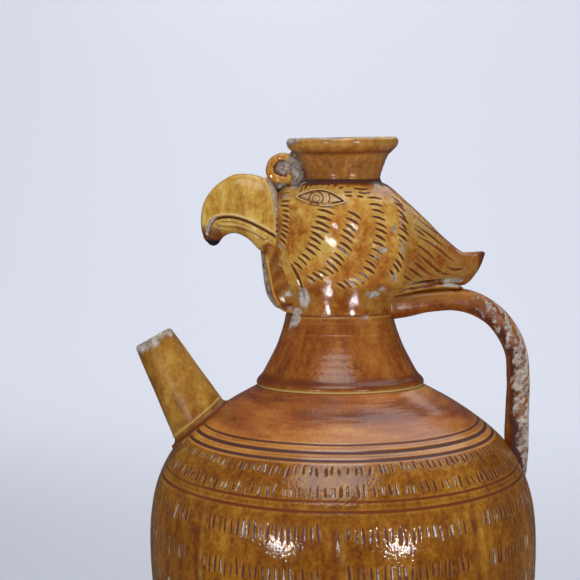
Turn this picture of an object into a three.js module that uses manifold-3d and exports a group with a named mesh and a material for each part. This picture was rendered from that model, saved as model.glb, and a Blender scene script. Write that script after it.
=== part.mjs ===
// Amber glazed ewer with a phoenix head: thrown body, neck and cup, with modelled and applied clay pieces.
// Millimetres, +Z up. The origin is the middle of the foot's underside, the beak points to -X,
// and the handle is on +X.
import * as THREE from 'three';
import Module from 'manifold-3d';
import { mergeVertices } from 'three/addons/utils/BufferGeometryUtils.js';

const wasm = await Module();
wasm.setup();

// Driving sizes of the thrown pieces
const footHeight = 15;
const footRadius = 58;
const footWaistRadius = 53;
const footEdge = 1.5;
const bellyRise = 153;
const bellyRadius = 99.3;
const shoulderRise = 80;
const neckRise = 38;
const neckBaseRadius = 43.1;
const neckTopRadius = 27.5;
const headRise = 66;
const cupRise = 22.6;
const cupBaseRadius = 19.6;
const cupRimRadius = 28.4;
const cupLipHeight = 4.4;
const cupShift = 2.3;
const cupLean = 5.5;
const wall = 6;
const cupWall = 4.6;

// Heights where one thrown piece stands on the next
const bellyZ = footHeight + bellyRise;
const neckZ = bellyZ + shoulderRise;
const headZ = neckZ + neckRise;
const cupZ = headZ + headRise;

// The gap that a luted curved joint keeps, and the overrun of every cut
const jointGap = 0.3;
const overrun = 4;

// Panels pressed into the body
const panelCount = 9;
const panelPhase = -2;
const creaseDepth = 1.3;
const creaseTopShare = 0.44;
const creaseFadeShare = 0.12;
const creaseFootShare = 0.9;

// Comb and turning tool: how deep they press, and each ring of a wall's outer face with its height share
// and the share of that depth that is pressed in there
const combDepth = 0.6;
const lowerBodyPressShares = [
  [0, 0], [0.09, 0], [0.2, 0], [0.32, 0], [0.385, 0], [0.418, 1], [0.451, 0], [0.501, 0],
  [0.529, 1], [0.5575, 0], [0.612, 0], [0.6405, 1], [0.6685, 0], [0.7235, 0], [0.7515, 1],
  [0.7795, 0], [0.8345, 0], [0.8625, 1], [0.891, 0], [0.946, 0], [0.974, 1], [1, 0],
];
const shoulderPressShares = [
  [0, 0], [0.11, 0], [0.1625, 1], [0.215, 0], [0.322, 0], [0.375, 1], [0.428, 0],
  [0.467, 0], [0.484, 1], [0.508, 0], [0.5325, 0.85], [0.552, 0], [0.58, 0.7], [0.63, 0], [0.6775, 0.7],
  [0.705, 0], [0.7175, 0.85], [0.736, 0], [0.754, 1], [0.772, 0], [0.7875, 0.6], [0.801, 0],
  [0.89, 0], [1, 0],
];

// Facets round a thrown piece and round a modelled one
const turnSegments = panelCount * 5;
const lineSteps = 40;
const innerSteps = 5;
const headSegments = 36;
const plumeSegments = 22;
const beakSegments = 24;
const wattleSegments = 14;
const strapSegments = 14;
const strapSquareness = 2.7;

// Profile of the lower body: share of the way from foot waist to belly, and share of the rise
const lowerBodyShares = [
  [0, 0], [0.075, 0.059], [0.245, 0.163], [0.447, 0.294], [0.623, 0.425],
  [0.772, 0.556], [0.887, 0.686], [0.973, 0.85], [1, 1],
];

// Profile of the shoulder: share of the way from neck to belly, and share of the rise
const shoulderShares = [
  [1, 0], [0.989, 0.191], [0.953, 0.345], [0.864, 0.51], [0.709, 0.6625],
  [0.481, 0.795], [0.246, 0.904], [0, 1],
];

// Profile of the neck, with the raised ring that stands on the shoulder
const neckShares = [
  [0.96, 0], [1, 0.032], [0.955, 0.068], [0.87, 0.118], [0.673, 0.26], [0.5, 0.395],
  [0.327, 0.537], [0.17, 0.71], [0.045, 0.884], [0, 1],
];

// Profile of the cup from its seat to the rolled lip
const cupShares = [
  [0, 0], [-0.03, 0.09], [0.075, 0.27], [0.225, 0.43], [0.41, 0.59], [0.7, 0.7], [0.9, 0.79],
  [1, 0.87], [0.985, 0.95], [0.9, 1],
];

// Foot profile: share of the way from waist to edge, and share of the foot's height
const footShares = [[0.86, 0.42], [0.1, 0.82], [0, 1]];

// Head rings: share of the rise, then front, back and side reach in neck top radii
const headRingShares = [
  [0, 1, 1, 1], [0.09, 1.01, 1.01, 1.01], [0.17, 1.055, 1.035, 1.04], [0.27, 1.145, 1.09, 1.145],
  [0.39, 1.22, 1.165, 1.22], [0.545, 1.275, 1.22, 1.255], [0.7, 1.29, 1.2, 1.22],
  [0.82, 1.275, 1.127, 1.127], [0.91, 1.24, 1, 0.98], [0.97, 1.17, 0.873, 0.855],
  [1, 1.08, 0.79, 0.775],
];
const faceNarrowingShare = 0.25;

// Bore through the head: share of the rise and share of the neck's bore
const headBoreShares = [[0, 1], [0.2, 1.02], [0.45, 1.14], [0.7, 1.08], [0.86, 0.9]];
const throatRadius = 14.5;

// Beak: length in front of the neck's front line, height at the cere, half width and rise above the head seat
const beakLength = 43.5;
const beakHeight = 40;
const beakHalfWidth = 13.5;
const beakRootShare = 0.4545;
const beakZ = headZ + headRise * beakRootShare;
const beakX = -neckTopRadius;

// Beak sections: top length and height shares, bottom length and height shares, width share
const beakSectionShares = [
  [-0.12, 0.74, -0.12, 0.08, 0.94], [0.06, 0.885, 0.12, 0, 1], [0.24, 0.975, 0.31, 0.04, 0.97],
  [0.425, 1.025, 0.453, 0.208, 0.91], [0.6, 1.013, 0.575, 0.26, 0.84],
  [0.735, 0.938, 0.66, 0.258, 0.74], [0.862, 0.825, 0.73, 0.225, 0.62],
  [0.954, 0.675, 0.77, 0.18, 0.49], [1, 0.375, 0.788, 0.165, 0.36],
  [0.982, 0.25, 0.805, 0.135, 0.27], [0.922, 0.15, 0.853, 0.108, 0.15],
];

// Mouth line from the corner to the front, in the same shares, and the hook's inner end
const mouthShares = [
  [-0.2, 0.02], [0.135, 0.23], [0.257, 0.31], [0.377, 0.378], [0.5, 0.43], [0.62, 0.465],
  [0.729, 0.48], [0.828, 0.455], [0.89, 0.37], [0.91, 0.265],
];
const hookInnerShares = [[0.775, 0.145], [0.7, -0.4], [-0.2, -0.4]];
const lowerBeakWidthShare = 0.86;
const beakSquareness = 3;

// Nape plume: it springs from inside the bulb and runs on past the bulb's back
const plumeLength = 40.8;
const plumeWidthShare = 0.98;
const plumeRootShare = 0.54;
const plumeSillShare = 0.045;
const headBackShare = 1.22;
const plumeRootX = neckTopRadius * plumeRootShare;
const plumeTipX = neckTopRadius * headBackShare + plumeLength;
const plumeTopZ = cupZ;
const plumeBottomZ = headZ + headRise * plumeSillShare;

// Plume sections: share of the way to the tip, top and bottom shares of its height, width share
const plumeSectionShares = [
  [0, 1, 0.01, 1], [0.163, 0.971, 0.03, 0.93], [0.288, 0.886, 0.08, 0.79], [0.355, 0.83, 0.127, 0.7],
  [0.425, 0.766, 0.16, 0.61], [0.494, 0.702, 0.18, 0.52], [0.563, 0.637, 0.19, 0.44],
  [0.629, 0.567, 0.194, 0.37], [0.7, 0.504, 0.19, 0.3], [0.763, 0.452, 0.175, 0.25],
  [0.825, 0.417, 0.15, 0.2], [0.913, 0.414, 0.225, 0.14], [0.975, 0.416, 0.317, 0.08],
];
const plumePointShare = 0.8;

// Wattles: a hanging teardrop on each side of the throat
const wattleLength = 35;
const wattleHalfWidth = 8;
const wattleHalfThickness = 4.6;
const wattleFrontShare = 1.364;
const wattleSideShare = 0.309;
const wattleRiseShare = 0.515;
const wattleTopX = -neckTopRadius * wattleFrontShare;
const wattleTopY = neckTopRadius * wattleSideShare;
const wattleTopZ = headZ + headRise * wattleRiseShare;
const wattleSwing = 12.5;
const wattleSpread = 5;
const farWattleLead = 4.4;

// Wattle sections: share of the length and share of the half width
const wattleSectionShares = [
  [0, 0.22], [0.1, 0.48], [0.25, 0.74], [0.45, 0.94], [0.62, 1], [0.78, 0.98], [0.9, 0.77], [0.975, 0.4],
];

// Crest scroll: a strap of clay rolled forward from the cup
const scrollRadius = 6;
const scrollEndRadius = 3.9;
const scrollHalfThickness = 2.7;
const scrollEndHalfThickness = 1.9;
const scrollHalfWidth = 6.2;
const scrollBedding = 2.2;
const scrollWebShare = 0.75;
const scrollCupGap = 3.3;
const scrollX = cupShift - cupBaseRadius - scrollRadius - scrollCupGap - scrollHalfThickness;
const scrollZ = cupZ + scrollRadius + scrollHalfThickness - scrollBedding;
const scrollStart = 52;
const scrollTaperShare = 0.25;
const scrollTurn = 318;
const scrollSteps = 16;

// Eyes: almond pads on the cheeks
const eyeLength = 25.5;
const eyeHeight = 8.6;
const eyeBackShare = 0.27;
const eyeRiseShare = 0.867;
const eyeX = -neckTopRadius * eyeBackShare;
const eyeZ = headZ + headRise * eyeRiseShare;
const eyeTilt = 8;
const eyeRelief = 1.9;
const lidRiseShare = 1.15;
const lidDropShare = 0.85;
const lidSteps = 10;

// Handle: a strap from the nape down to the shoulder
const handleHalfThickness = 5.6;
const handleHalfWidth = 7.8;
const handleBedding = 4.1;
const handleFootShare = 0.375;
const handleRootShare = 0.8;
const handleRiseShare = 1.1;
const handleRootX = neckTopRadius * handleRootShare;
const handleRootZ = headZ + handleHalfThickness * handleRiseShare;
const handleFootZ = bellyZ + shoulderRise * handleFootShare;

// Handle spine: share of the way out from root to foot, share of the drop between them, thickness share
const handleSpineShares = [
  [0, 0.03, 1.08], [0.156, 0.03, 1.08], [0.341, 0.012, 1.05], [0.526, 0.006, 1.04], [0.678, 0.03, 1.04],
  [0.815, 0.09, 1.03], [0.928, 0.19, 1], [0.991, 0.31, 0.97], [1.004, 0.44, 0.98], [1, 0.58, 1],
  [0.992, 0.72, 1.04], [0.994, 0.83, 0.98], [1.007, 0.925, 0.7], [1.033, 1, 0.34],
];
const handleSteps = 20;

// Spout: a straight tapered tube that leans away from the body
const spoutLean = 28.75;
const spoutSeatShare = 0.7645;
const spoutSeatLength = 50.3;
const spoutRootLength = 26;
const spoutTipRadius = 10.4;
const spoutSeatRadius = 16;
const spoutBoreTipRadius = 6.6;
const spoutBoreSeatRadius = 9.4;
const spoutLip = 1;
const spoutFlare = 1.6;
const spoutFlareLength = 7;
const spoutSegments = 28;
const spoutLength = spoutSeatLength + spoutRootLength;

const degrees = Math.PI / 180;

// Geometry helpers

// Joins equal corners and drops the flat triangles at a pole, so that the mesh is closed.
function weld(geometry) {
  const bare = new THREE.BufferGeometry();
  bare.setAttribute('position', geometry.getAttribute('position').clone());
  if (geometry.index) {
    bare.setIndex(geometry.index.clone());
  }
  const merged = mergeVertices(bare);
  const index = merged.index.array;
  const kept = [];
  for (let i = 0; i < index.length; i += 3) {
    const [a, b, c] = [index[i], index[i + 1], index[i + 2]];
    if (a !== b && b !== c && c !== a) {
      kept.push(a, b, c);
    }
  }
  merged.setIndex(kept);
  return faceOutward(merged);
}

// Turns every face round where the enclosed volume comes out negative.
function faceOutward(geometry) {
  const position = geometry.getAttribute('position');
  const index = geometry.index.array;
  const [a, b, c] = [new THREE.Vector3(), new THREE.Vector3(), new THREE.Vector3()];
  let volume = 0;
  for (let i = 0; i < index.length; i += 3) {
    a.fromBufferAttribute(position, index[i]);
    b.fromBufferAttribute(position, index[i + 1]);
    c.fromBufferAttribute(position, index[i + 2]);
    volume += a.dot(b.cross(c));
  }
  if (volume < 0) {
    for (let i = 0; i < index.length; i += 3) {
      [index[i], index[i + 1]] = [index[i + 1], index[i]];
    }
  }
  return geometry;
}

function solidOf(geometry) {
  const welded = weld(geometry);
  return new wasm.Manifold(new wasm.Mesh({
    numProp: 3,
    vertProperties: new Float32Array(welded.getAttribute('position').array),
    triVerts: new Uint32Array(welded.index.array),
  }));
}

function geometryOf(solid) {
  const mesh = solid.getMesh();
  const geometry = new THREE.BufferGeometry();
  geometry.setAttribute('position', new THREE.BufferAttribute(new Float32Array(mesh.vertProperties), 3));
  geometry.setIndex(new THREE.BufferAttribute(new Uint32Array(mesh.triVerts), 1));
  return geometry;
}

// Turns a profile of radius and height about the upright axis.
function turned(profile, segments = turnSegments) {
  const points = profile.map(([radius, height]) => new THREE.Vector2(radius, height));
  const geometry = new THREE.LatheGeometry(points, segments, panelPhase * degrees, 2 * Math.PI);
  return geometry.rotateX(Math.PI / 2);
}

// A closed profile: outer wall up, inner wall down, and back to where it began.
function ringProfile(outer, inner) {
  return [...outer, ...inner.slice().reverse(), outer[0]];
}

// A smooth line of radius and height through hand-set points.
function smoothLine(points, steps) {
  const curve = new THREE.CatmullRomCurve3(
    points.map(([x, z]) => new THREE.Vector3(x, 0, z)), false, 'centripetal',
  );
  return curve.getPoints(steps).map((point) => [point.x, point.z]);
}

// Moves each point of a line sideways by a distance, to the right of its direction.
function sideways(line, distance) {
  return line.map(([x, z], i) => {
    const [x0, z0] = line[Math.max(i - 1, 0)];
    const [x1, z1] = line[Math.min(i + 1, line.length - 1)];
    const length = Math.hypot(x1 - x0, z1 - z0);
    return [x + distance * (z1 - z0) / length, z - distance * (x1 - x0) / length];
  });
}

// Skins rings of equal count and closes both ends with a fan.
function skinned(rings) {
  const count = rings[0].length;
  const corners = rings.flat();
  const index = [];
  for (let row = 0; row + 1 < rings.length; row += 1) {
    for (let i = 0; i < count; i += 1) {
      const next = (i + 1) % count;
      const [a, b] = [row * count + i, row * count + next];
      const [c, d] = [a + count, b + count];
      index.push(a, b, d, a, d, c);
    }
  }
  for (const [row, flip] of [[0, true], [rings.length - 1, false]]) {
    const middle = new THREE.Vector3();
    rings[row].forEach((corner) => middle.addScaledVector(corner, 1 / count));
    corners.push(middle);
    const centre = corners.length - 1;
    for (let i = 0; i < count; i += 1) {
      const [a, b] = [row * count + i, row * count + (i + 1) % count];
      index.push(centre, ...(flip ? [b, a] : [a, b]));
    }
  }
  const geometry = new THREE.BufferGeometry();
  geometry.setAttribute('position', new THREE.Float32BufferAttribute(corners.flatMap((p) => p.toArray()), 3));
  geometry.setIndex(index);
  return geometry;
}

// A rounded section: two half axes, a centre and the squareness of its corners (2 is an ellipse).
function section(centre, across, side, squareness = 2, segments = headSegments) {
  const ring = [];
  for (let i = 0; i < segments; i += 1) {
    const angle = 2 * Math.PI * i / segments;
    const [c, s] = [Math.cos(angle), Math.sin(angle)];
    const u = Math.sign(c) * Math.abs(c) ** (2 / squareness);
    const v = Math.sign(s) * Math.abs(s) ** (2 / squareness);
    ring.push(centre.clone().addScaledVector(across, u).addScaledVector(side, v));
  }
  return ring;
}

// Pushes an outline of X and Z points out on both sides of the middle plane.
function slab(outline, nearY, farY) {
  const shape = new THREE.Shape(outline.map(([x, z]) => new THREE.Vector2(x, z)));
  const geometry = new THREE.ExtrudeGeometry(shape, { depth: farY - nearY, bevelEnabled: false });
  return geometry.rotateX(Math.PI / 2).translate(0, farY, 0);
}

// Grows a closed outline by a distance, with its corners kept sharp.
function grownOutline(outline, distance) {
  const area = outline.reduce((sum, [x, z], i) => {
    const [nextX, nextZ] = outline[(i + 1) % outline.length];
    return sum + x * nextZ - nextX * z;
  }, 0);
  const outward = Math.sign(area) * distance;
  return outline.map(([x, z], i) => {
    const [x0, z0] = outline[(i + outline.length - 1) % outline.length];
    const [x1, z1] = outline[(i + 1) % outline.length];
    const [a, b] = [Math.hypot(x - x0, z - z0), Math.hypot(x1 - x, z1 - z)];
    const [nax, naz] = [(z - z0) / a, (x0 - x) / a];
    const [nbx, nbz] = [(z1 - z) / b, (x - x1) / b];
    const scale = outward / (1 + nax * nbx + naz * nbz);
    return [x + scale * (nax + nbx), z + scale * (naz + nbz)];
  });
}

// Share of the crease depth at a height: none above the panels, none at the foot.
function creaseFade(z) {
  const top = bellyZ + shoulderRise * creaseTopShare;
  const fade = shoulderRise * creaseFadeShare;
  const low = footHeight + bellyRise * (1 - creaseFootShare);
  const above = THREE.MathUtils.smoothstep(top - z, 0, fade);
  const below = THREE.MathUtils.smoothstep(z, low, low + fade);
  return above * below;
}

// Presses the upright panel creases into a turned outer wall. The comb's rows stop at them.
function creased(geometry, outerRadiusAt) {
  const position = geometry.getAttribute('position');
  for (let i = 0; i < position.count; i += 1) {
    const [x, y, z] = [position.getX(i), position.getY(i), position.getZ(i)];
    const radius = Math.hypot(x, y);
    const turn = Math.atan2(x, -y) / degrees - panelPhase;
    const panel = turn / (360 / panelCount);
    const onCrease = Math.abs(panel - Math.round(panel)) * turnSegments / panelCount < 0.5;
    if (onCrease && radius > outerRadiusAt(z) - wall / 2) {
      const pressed = outerRadiusAt(z) - creaseDepth;
      const scale = THREE.MathUtils.lerp(radius, pressed, creaseFade(z)) / radius;
      position.setXY(i, x * scale, y * scale);
    }
  }
  return geometry;
}

// Radius of a profile at a height, by straight runs between its points.
function radiusOn(line) {
  return (z) => {
    for (let i = 0; i + 1 < line.length; i += 1) {
      const [[r0, z0], [r1, z1]] = [line[i], line[i + 1]];
      if ((z - z0) * (z - z1) <= 0 && z0 !== z1) {
        return r0 + (r1 - r0) * (z - z0) / (z1 - z0);
      }
    }
    return line[line.length - 1][0];
  };
}

// A wall's outer face: the smooth line at each ring's height, moved in by its share of the comb's depth.
function pressedLine(line, lowZ, rise, pressShares) {
  const radiusAt = radiusOn(line);
  const rings = pressShares.map(([up]) => [radiusAt(lowZ + rise * up), lowZ + rise * up]);
  const deepest = sideways(rings, -combDepth);
  return rings.map(([radius, z], i) => {
    const share = pressShares[i][1];
    const [deepRadius, deepZ] = deepest[i];
    return [THREE.MathUtils.lerp(radius, deepRadius, share), THREE.MathUtils.lerp(z, deepZ, share)];
  });
}

// Thrown pieces

const lowerBodyPoints = lowerBodyShares.map(([across, up]) => [
  footWaistRadius + (bellyRadius - footWaistRadius) * across,
  footHeight + bellyRise * up,
]);
const lowerBodyLine = smoothLine(lowerBodyPoints, lineSteps);
const lowerBodyOuter = pressedLine(lowerBodyLine, footHeight, bellyRise, lowerBodyPressShares);

const shoulderPoints = shoulderShares.map(([across, up]) => [
  neckBaseRadius + (bellyRadius - neckBaseRadius) * across,
  bellyZ + shoulderRise * up,
]);
const shoulderLine = smoothLine(shoulderPoints, lineSteps);
const shoulderOuter = pressedLine(shoulderLine, bellyZ, shoulderRise, shoulderPressShares);

const neckOuter = neckShares.map(([across, up]) => [
  neckTopRadius + (neckBaseRadius - neckTopRadius) * across,
  neckZ + neckRise * up,
]);

function buildFoot() {
  const side = footShares.map(([across, up]) => [
    footWaistRadius + (footRadius - footWaistRadius) * across,
    footHeight * up,
  ]);
  return turned([
    [0, 0],
    [footRadius - footEdge, 0],
    [footRadius, footEdge],
    ...side,
    [0, footHeight],
  ]);
}

function buildLowerBody() {
  const floorZ = footHeight + wall;
  const inner = sideways(smoothLine(lowerBodyPoints, innerSteps), -wall)
    .filter(([, z]) => z > floorZ && z < bellyZ);
  const floorRadius = radiusOn(lowerBodyLine)(floorZ) - 2 * wall;
  const profile = [
    [0, footHeight],
    ...lowerBodyOuter,
    [bellyRadius - wall, bellyZ],
    ...inner.reverse(),
    [floorRadius, floorZ],
    [0, floorZ],
  ];
  return creased(turned(profile), radiusOn(lowerBodyLine));
}

function buildShoulder() {
  const holeRadius = neckBaseRadius - wall;
  const inner = sideways(smoothLine(shoulderPoints, innerSteps), -wall)
    .filter(([r, z]) => z > bellyZ && r > holeRadius);
  const profile = ringProfile(shoulderOuter, [
    [bellyRadius - wall, bellyZ],
    ...inner,
    [holeRadius, neckZ - wall / 2],
    [holeRadius, neckZ],
  ]);
  const shell = creased(turned(profile), radiusOn(shoulderLine));
  const hole = placedOnSpout(turned([
    [0, spoutSeatLength - wall - overrun],
    [spoutBoreSeatRadius, spoutSeatLength - wall - overrun],
    [spoutBoreSeatRadius, spoutSeatLength + wall + overrun * 2],
    [0, spoutSeatLength + wall + overrun * 2],
  ], spoutSegments));
  return geometryOf(solidOf(shell).subtract(solidOf(hole)));
}

// The outside of the shoulder as a full solid, grown by a gap, that applied pieces are cut to.
function shoulderMass(gap) {
  const line = sideways(shoulderOuter, gap);
  const lowZ = bellyZ - overrun;
  return solidOf(turned([[0, lowZ], [bellyRadius + gap, lowZ], ...line, [0, neckZ + gap]]));
}

function buildNeck() {
  const inner = neckOuter.filter((point, i) => i % 2 === 0).map(([radius, z]) => [radius - wall, z]);
  inner[0] = [neckBaseRadius - wall, neckZ];
  inner.push([neckTopRadius - wall, headZ]);
  return turned(ringProfile(neckOuter, inner), headSegments);
}

function neckMass(gap) {
  const line = neckOuter.map(([radius, z]) => [radius + gap, z]);
  return solidOf(turned([[0, neckZ], ...line, [0, headZ]], headSegments));
}

function buildCup() {
  const outer = smoothLine(cupShares.map(([across, up]) => [
    cupBaseRadius + (cupRimRadius - cupBaseRadius) * across,
    cupRise * up,
  ]), 9);
  const lipZ = cupRise - cupLipHeight;
  const inner = [
    [throatRadius, 0],
    [cupBaseRadius - cupWall, cupWall],
    [radiusOn(outer)(cupRise / 2) - cupWall, cupRise / 2],
    [radiusOn(outer)(lipZ) - cupWall, lipZ],
    [cupRimRadius - cupWall, cupRise - cupLipHeight / 4],
    [cupRimRadius - cupLipHeight / 2, cupRise],
  ];
  return turned(ringProfile(outer, inner), headSegments);
}

// The cup leans a little towards -Y and stands a little behind the axis.
function placeCup(geometry, lift = 0) {
  return geometry.translate(0, 0, lift).rotateX(cupLean * degrees).translate(cupShift, 0, cupZ);
}

// The lowest plane that the leaning cup needs clear, as a wide block above the head.
function cupSeatCutter() {
  const reach = bellyRadius;
  const block = new THREE.BoxGeometry(2 * reach, 2 * reach, reach);
  return solidOf(placeCup(block, reach / 2 - jointGap));
}

// Modelled pieces of the head

function headRing([up, front, back, sideReach], gap) {
  const ring = [];
  for (let i = 0; i < headSegments; i += 1) {
    const angle = 2 * Math.PI * i / headSegments;
    const [c, s] = [Math.cos(angle), Math.sin(angle)];
    const along = neckTopRadius * (c < 0 ? front : back) + gap;
    const narrowing = 1 + faceNarrowingShare * Math.min(c, 0) * Math.min(1, up * 2);
    const across = neckTopRadius * sideReach * narrowing + gap;
    ring.push(new THREE.Vector3(along * c, across * s, headZ + headRise * up));
  }
  return ring;
}

// Rings between the hand-set ones, so that the bulb is smooth from neck to crown.
function headRings() {
  const rows = [];
  const curves = [1, 2, 3].map((k) => new THREE.CatmullRomCurve3(
    headRingShares.map((row) => new THREE.Vector3(row[k], 0, row[0])), false, 'centripetal',
  ));
  const steps = headRingShares.length;
  for (let i = 0; i <= steps; i += 1) {
    const points = curves.map((curve) => curve.getPoint(i / steps));
    const up = points.reduce((sum, point) => sum + point.z, 0) / points.length;
    rows.push([up, points[0].x, points[1].x, points[2].x]);
  }
  return rows;
}

function headMass(gap) {
  const rings = headRings().map((row) => headRing(row, gap));
  return solidOf(skinned(rings));
}

function buildHead() {
  const boreRadius = neckTopRadius - wall;
  const bore = smoothLine(headBoreShares.map(([up, across]) => [
    boreRadius * across,
    headZ + headRise * up,
  ]), 8);
  const cavity = turned([
    [0, headZ - overrun],
    [boreRadius, headZ - overrun],
    ...bore,
    [throatRadius, cupZ - wall],
    [throatRadius, cupZ + overrun],
    [0, cupZ + overrun],
  ], headSegments);
  return geometryOf(headMass(0).subtract(solidOf(cavity)).subtract(cupSeatCutter()));
}

function beakPoint([along, up]) {
  return [beakX - beakLength * along, beakZ + beakHeight * up];
}

function beakMass(widthShare) {
  const rings = beakSectionShares.map(([topAlong, topUp, lowAlong, lowUp, width]) => {
    const [topX, topZ] = beakPoint([topAlong, topUp]);
    const [lowX, lowZ] = beakPoint([lowAlong, lowUp]);
    const centre = new THREE.Vector3((topX + lowX) / 2, 0, (topZ + lowZ) / 2);
    const across = new THREE.Vector3((topX - lowX) / 2, 0, (topZ - lowZ) / 2);
    const side = new THREE.Vector3(0, beakHalfWidth * width * widthShare, 0);
    return section(centre, across, side, beakSquareness, beakSegments);
  });
  return solidOf(skinned(rings));
}

// The region under the mouth line, which the lower beak fills.
const mouthOutline = [...mouthShares, ...hookInnerShares].map(beakPoint);

function buildUpperBeak() {
  const reach = beakHalfWidth + overrun;
  const below = solidOf(slab(grownOutline(mouthOutline, jointGap), -reach, reach));
  return geometryOf(beakMass(1).subtract(below).subtract(headMass(jointGap)));
}

function buildLowerBeak() {
  const reach = beakHalfWidth + overrun;
  const below = solidOf(slab(mouthOutline, -reach, reach));
  return geometryOf(beakMass(lowerBeakWidthShare).intersect(below).subtract(headMass(jointGap)));
}

function plumeMass() {
  const height = plumeTopZ - plumeBottomZ;
  const rings = plumeSectionShares.map(([along, top, bottom, width]) => {
    const middle = plumeBottomZ + height * (top + bottom) / 2;
    const centre = new THREE.Vector3(plumeRootX + (plumeTipX - plumeRootX) * along, 0, middle);
    const across = new THREE.Vector3(0, 0, height * (top - bottom) / 2);
    const side = new THREE.Vector3(0, neckTopRadius * plumeWidthShare * width, 0);
    return section(centre, across, side, 2, plumeSegments);
  });
  const [, lastTop] = plumeSectionShares[plumeSectionShares.length - 1];
  const tip = new THREE.Vector3(plumeTipX, 0, plumeBottomZ + height * lastTop);
  const last = rings[rings.length - 1];
  rings.push(last.map((corner) => corner.clone().lerp(tip, plumePointShare)));
  return solidOf(skinned(rings));
}

function buildPlume() {
  return geometryOf(plumeMass().subtract(headMass(jointGap)).subtract(cupSeatCutter()));
}

// A wattle hangs on the side given by sign, and one leads the other a little.
function buildWattle(sign, lead) {
  const rings = wattleSectionShares.map(([down, width]) => {
    const sweep = Math.sin(down * Math.PI / 2);
    const centre = new THREE.Vector3(
      wattleTopX - lead + wattleSwing * sweep,
      sign * (wattleTopY + wattleSpread * sweep),
      wattleTopZ - wattleLength * down,
    );
    const slope = wattleSwing * Math.cos(down * Math.PI / 2) * Math.PI / 2 / wattleLength;
    const across = new THREE.Vector3(1, 0, slope).normalize().multiplyScalar(wattleHalfWidth * width);
    const side = new THREE.Vector3(0, wattleHalfThickness * Math.sqrt(width), 0);
    return section(centre, across, side, 2, wattleSegments);
  });
  const drop = solidOf(skinned(rings));
  return geometryOf(drop
    .subtract(headMass(jointGap))
    .subtract(neckMass(jointGap))
    .subtract(solidOf(slab(grownOutline(beakUnderside(), jointGap), -bellyRadius, bellyRadius))));
}

// The outline of the lower beak and all above it, which a wattle hangs clear of.
function beakUnderside() {
  const low = beakSectionShares.map(([, , along, up]) => beakPoint([along, up]));
  const [frontX] = low[low.length - 1];
  return [...low, [frontX, cupZ], [0, cupZ], [0, low[0][1]]];
}

// A strap rolled into a scroll, with the clay that fills its eye.
function buildScroll() {
  const rings = [];
  for (let i = 0; i <= scrollSteps; i += 1) {
    const share = i / scrollSteps;
    const angle = (scrollStart + scrollTurn * share) * degrees;
    const radius = scrollRadius + (scrollEndRadius - scrollRadius) * share;
    const half = scrollHalfThickness + (scrollEndHalfThickness - scrollHalfThickness) * share;
    const outward = new THREE.Vector3(Math.cos(angle), 0, Math.sin(angle));
    const centre = outward.clone().multiplyScalar(radius).add(new THREE.Vector3(scrollX, 0, scrollZ));
    const side = new THREE.Vector3(0, scrollHalfWidth * (1 - share * scrollTaperShare), 0);
    rings.push(section(centre, outward.multiplyScalar(half), side, strapSquareness, strapSegments));
  }
  const webWidth = 2 * scrollHalfWidth * scrollWebShare;
  const web = new THREE.CylinderGeometry(scrollRadius, scrollRadius, webWidth, 2 * strapSegments);
  web.translate(scrollX, 0, scrollZ);
  return geometryOf(solidOf(skinned(rings))
    .add(solidOf(web))
    .subtract(headMass(jointGap))
    .subtract(beakMass(1 + jointGap / beakHalfWidth).translate([0, 0, jointGap]))
    .subtract(cupMass(jointGap)));
}

// The outside of the cup as a full solid that the scroll is cut to.
function cupMass(gap) {
  const outer = cupShares.map(([across, up]) => [
    cupBaseRadius + (cupRimRadius - cupBaseRadius) * across + gap,
    cupRise * up,
  ]);
  const profile = [[0, -gap], [cupBaseRadius + gap, -gap], ...outer, [0, cupRise + gap]];
  return solidOf(placeCup(turned(profile)));
}

// An almond: two arcs that meet at the corners of the eye.
function almondOutline() {
  const outline = [];
  const turn = new THREE.Vector2(Math.cos(eyeTilt * degrees), -Math.sin(eyeTilt * degrees));
  for (let i = 0; i < 2 * lidSteps; i += 1) {
    const share = (i % lidSteps) / lidSteps;
    const upper = i < lidSteps;
    const along = eyeLength * (upper ? 0.5 - share : share - 0.5);
    const up = eyeHeight / 2 * Math.sin(Math.PI * share) * (upper ? lidRiseShare : -lidDropShare);
    outline.push([eyeX + along * turn.x - up * turn.y, eyeZ + along * turn.y + up * turn.x]);
  }
  return outline;
}

function buildEye(sign) {
  const reach = 2 * neckTopRadius;
  const block = slab(almondOutline(), sign > 0 ? 0 : -reach, sign > 0 ? reach : 0);
  return geometryOf(solidOf(block).intersect(headMass(eyeRelief)).subtract(headMass(jointGap)));
}

// Handle and spout

function buildHandle() {
  const drop = handleRootZ - handleFootZ;
  const reach = radiusOn(shoulderLine)(handleFootZ) - handleBedding - handleRootX;
  const spine = new THREE.CatmullRomCurve3(handleSpineShares.map(([along, down]) => (
    new THREE.Vector3(handleRootX + reach * along, 0, handleRootZ - drop * down)
  )), false, 'centripetal');
  const swell = new THREE.CatmullRomCurve3(handleSpineShares.map(([along, down, thick]) => (
    new THREE.Vector3(along, thick, down)
  )), false, 'centripetal');
  const rings = [];
  for (let i = 0; i <= handleSteps; i += 1) {
    const share = i / handleSteps;
    const tangent = spine.getTangent(share);
    const thick = swell.getPoint(share).y;
    const across = new THREE.Vector3(tangent.z, 0, -tangent.x).multiplyScalar(handleHalfThickness * thick);
    const side = new THREE.Vector3(0, handleHalfWidth * Math.min(1, thick ** 0.5), 0);
    rings.push(section(spine.getPoint(share), across, side, strapSquareness, strapSegments));
  }
  return geometryOf(solidOf(skinned(rings))
    .subtract(headMass(jointGap))
    .subtract(neckMass(jointGap))
    .subtract(plumeMass().translate([0, 0, -jointGap]))
    .subtract(shoulderMass(jointGap)));
}

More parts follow.
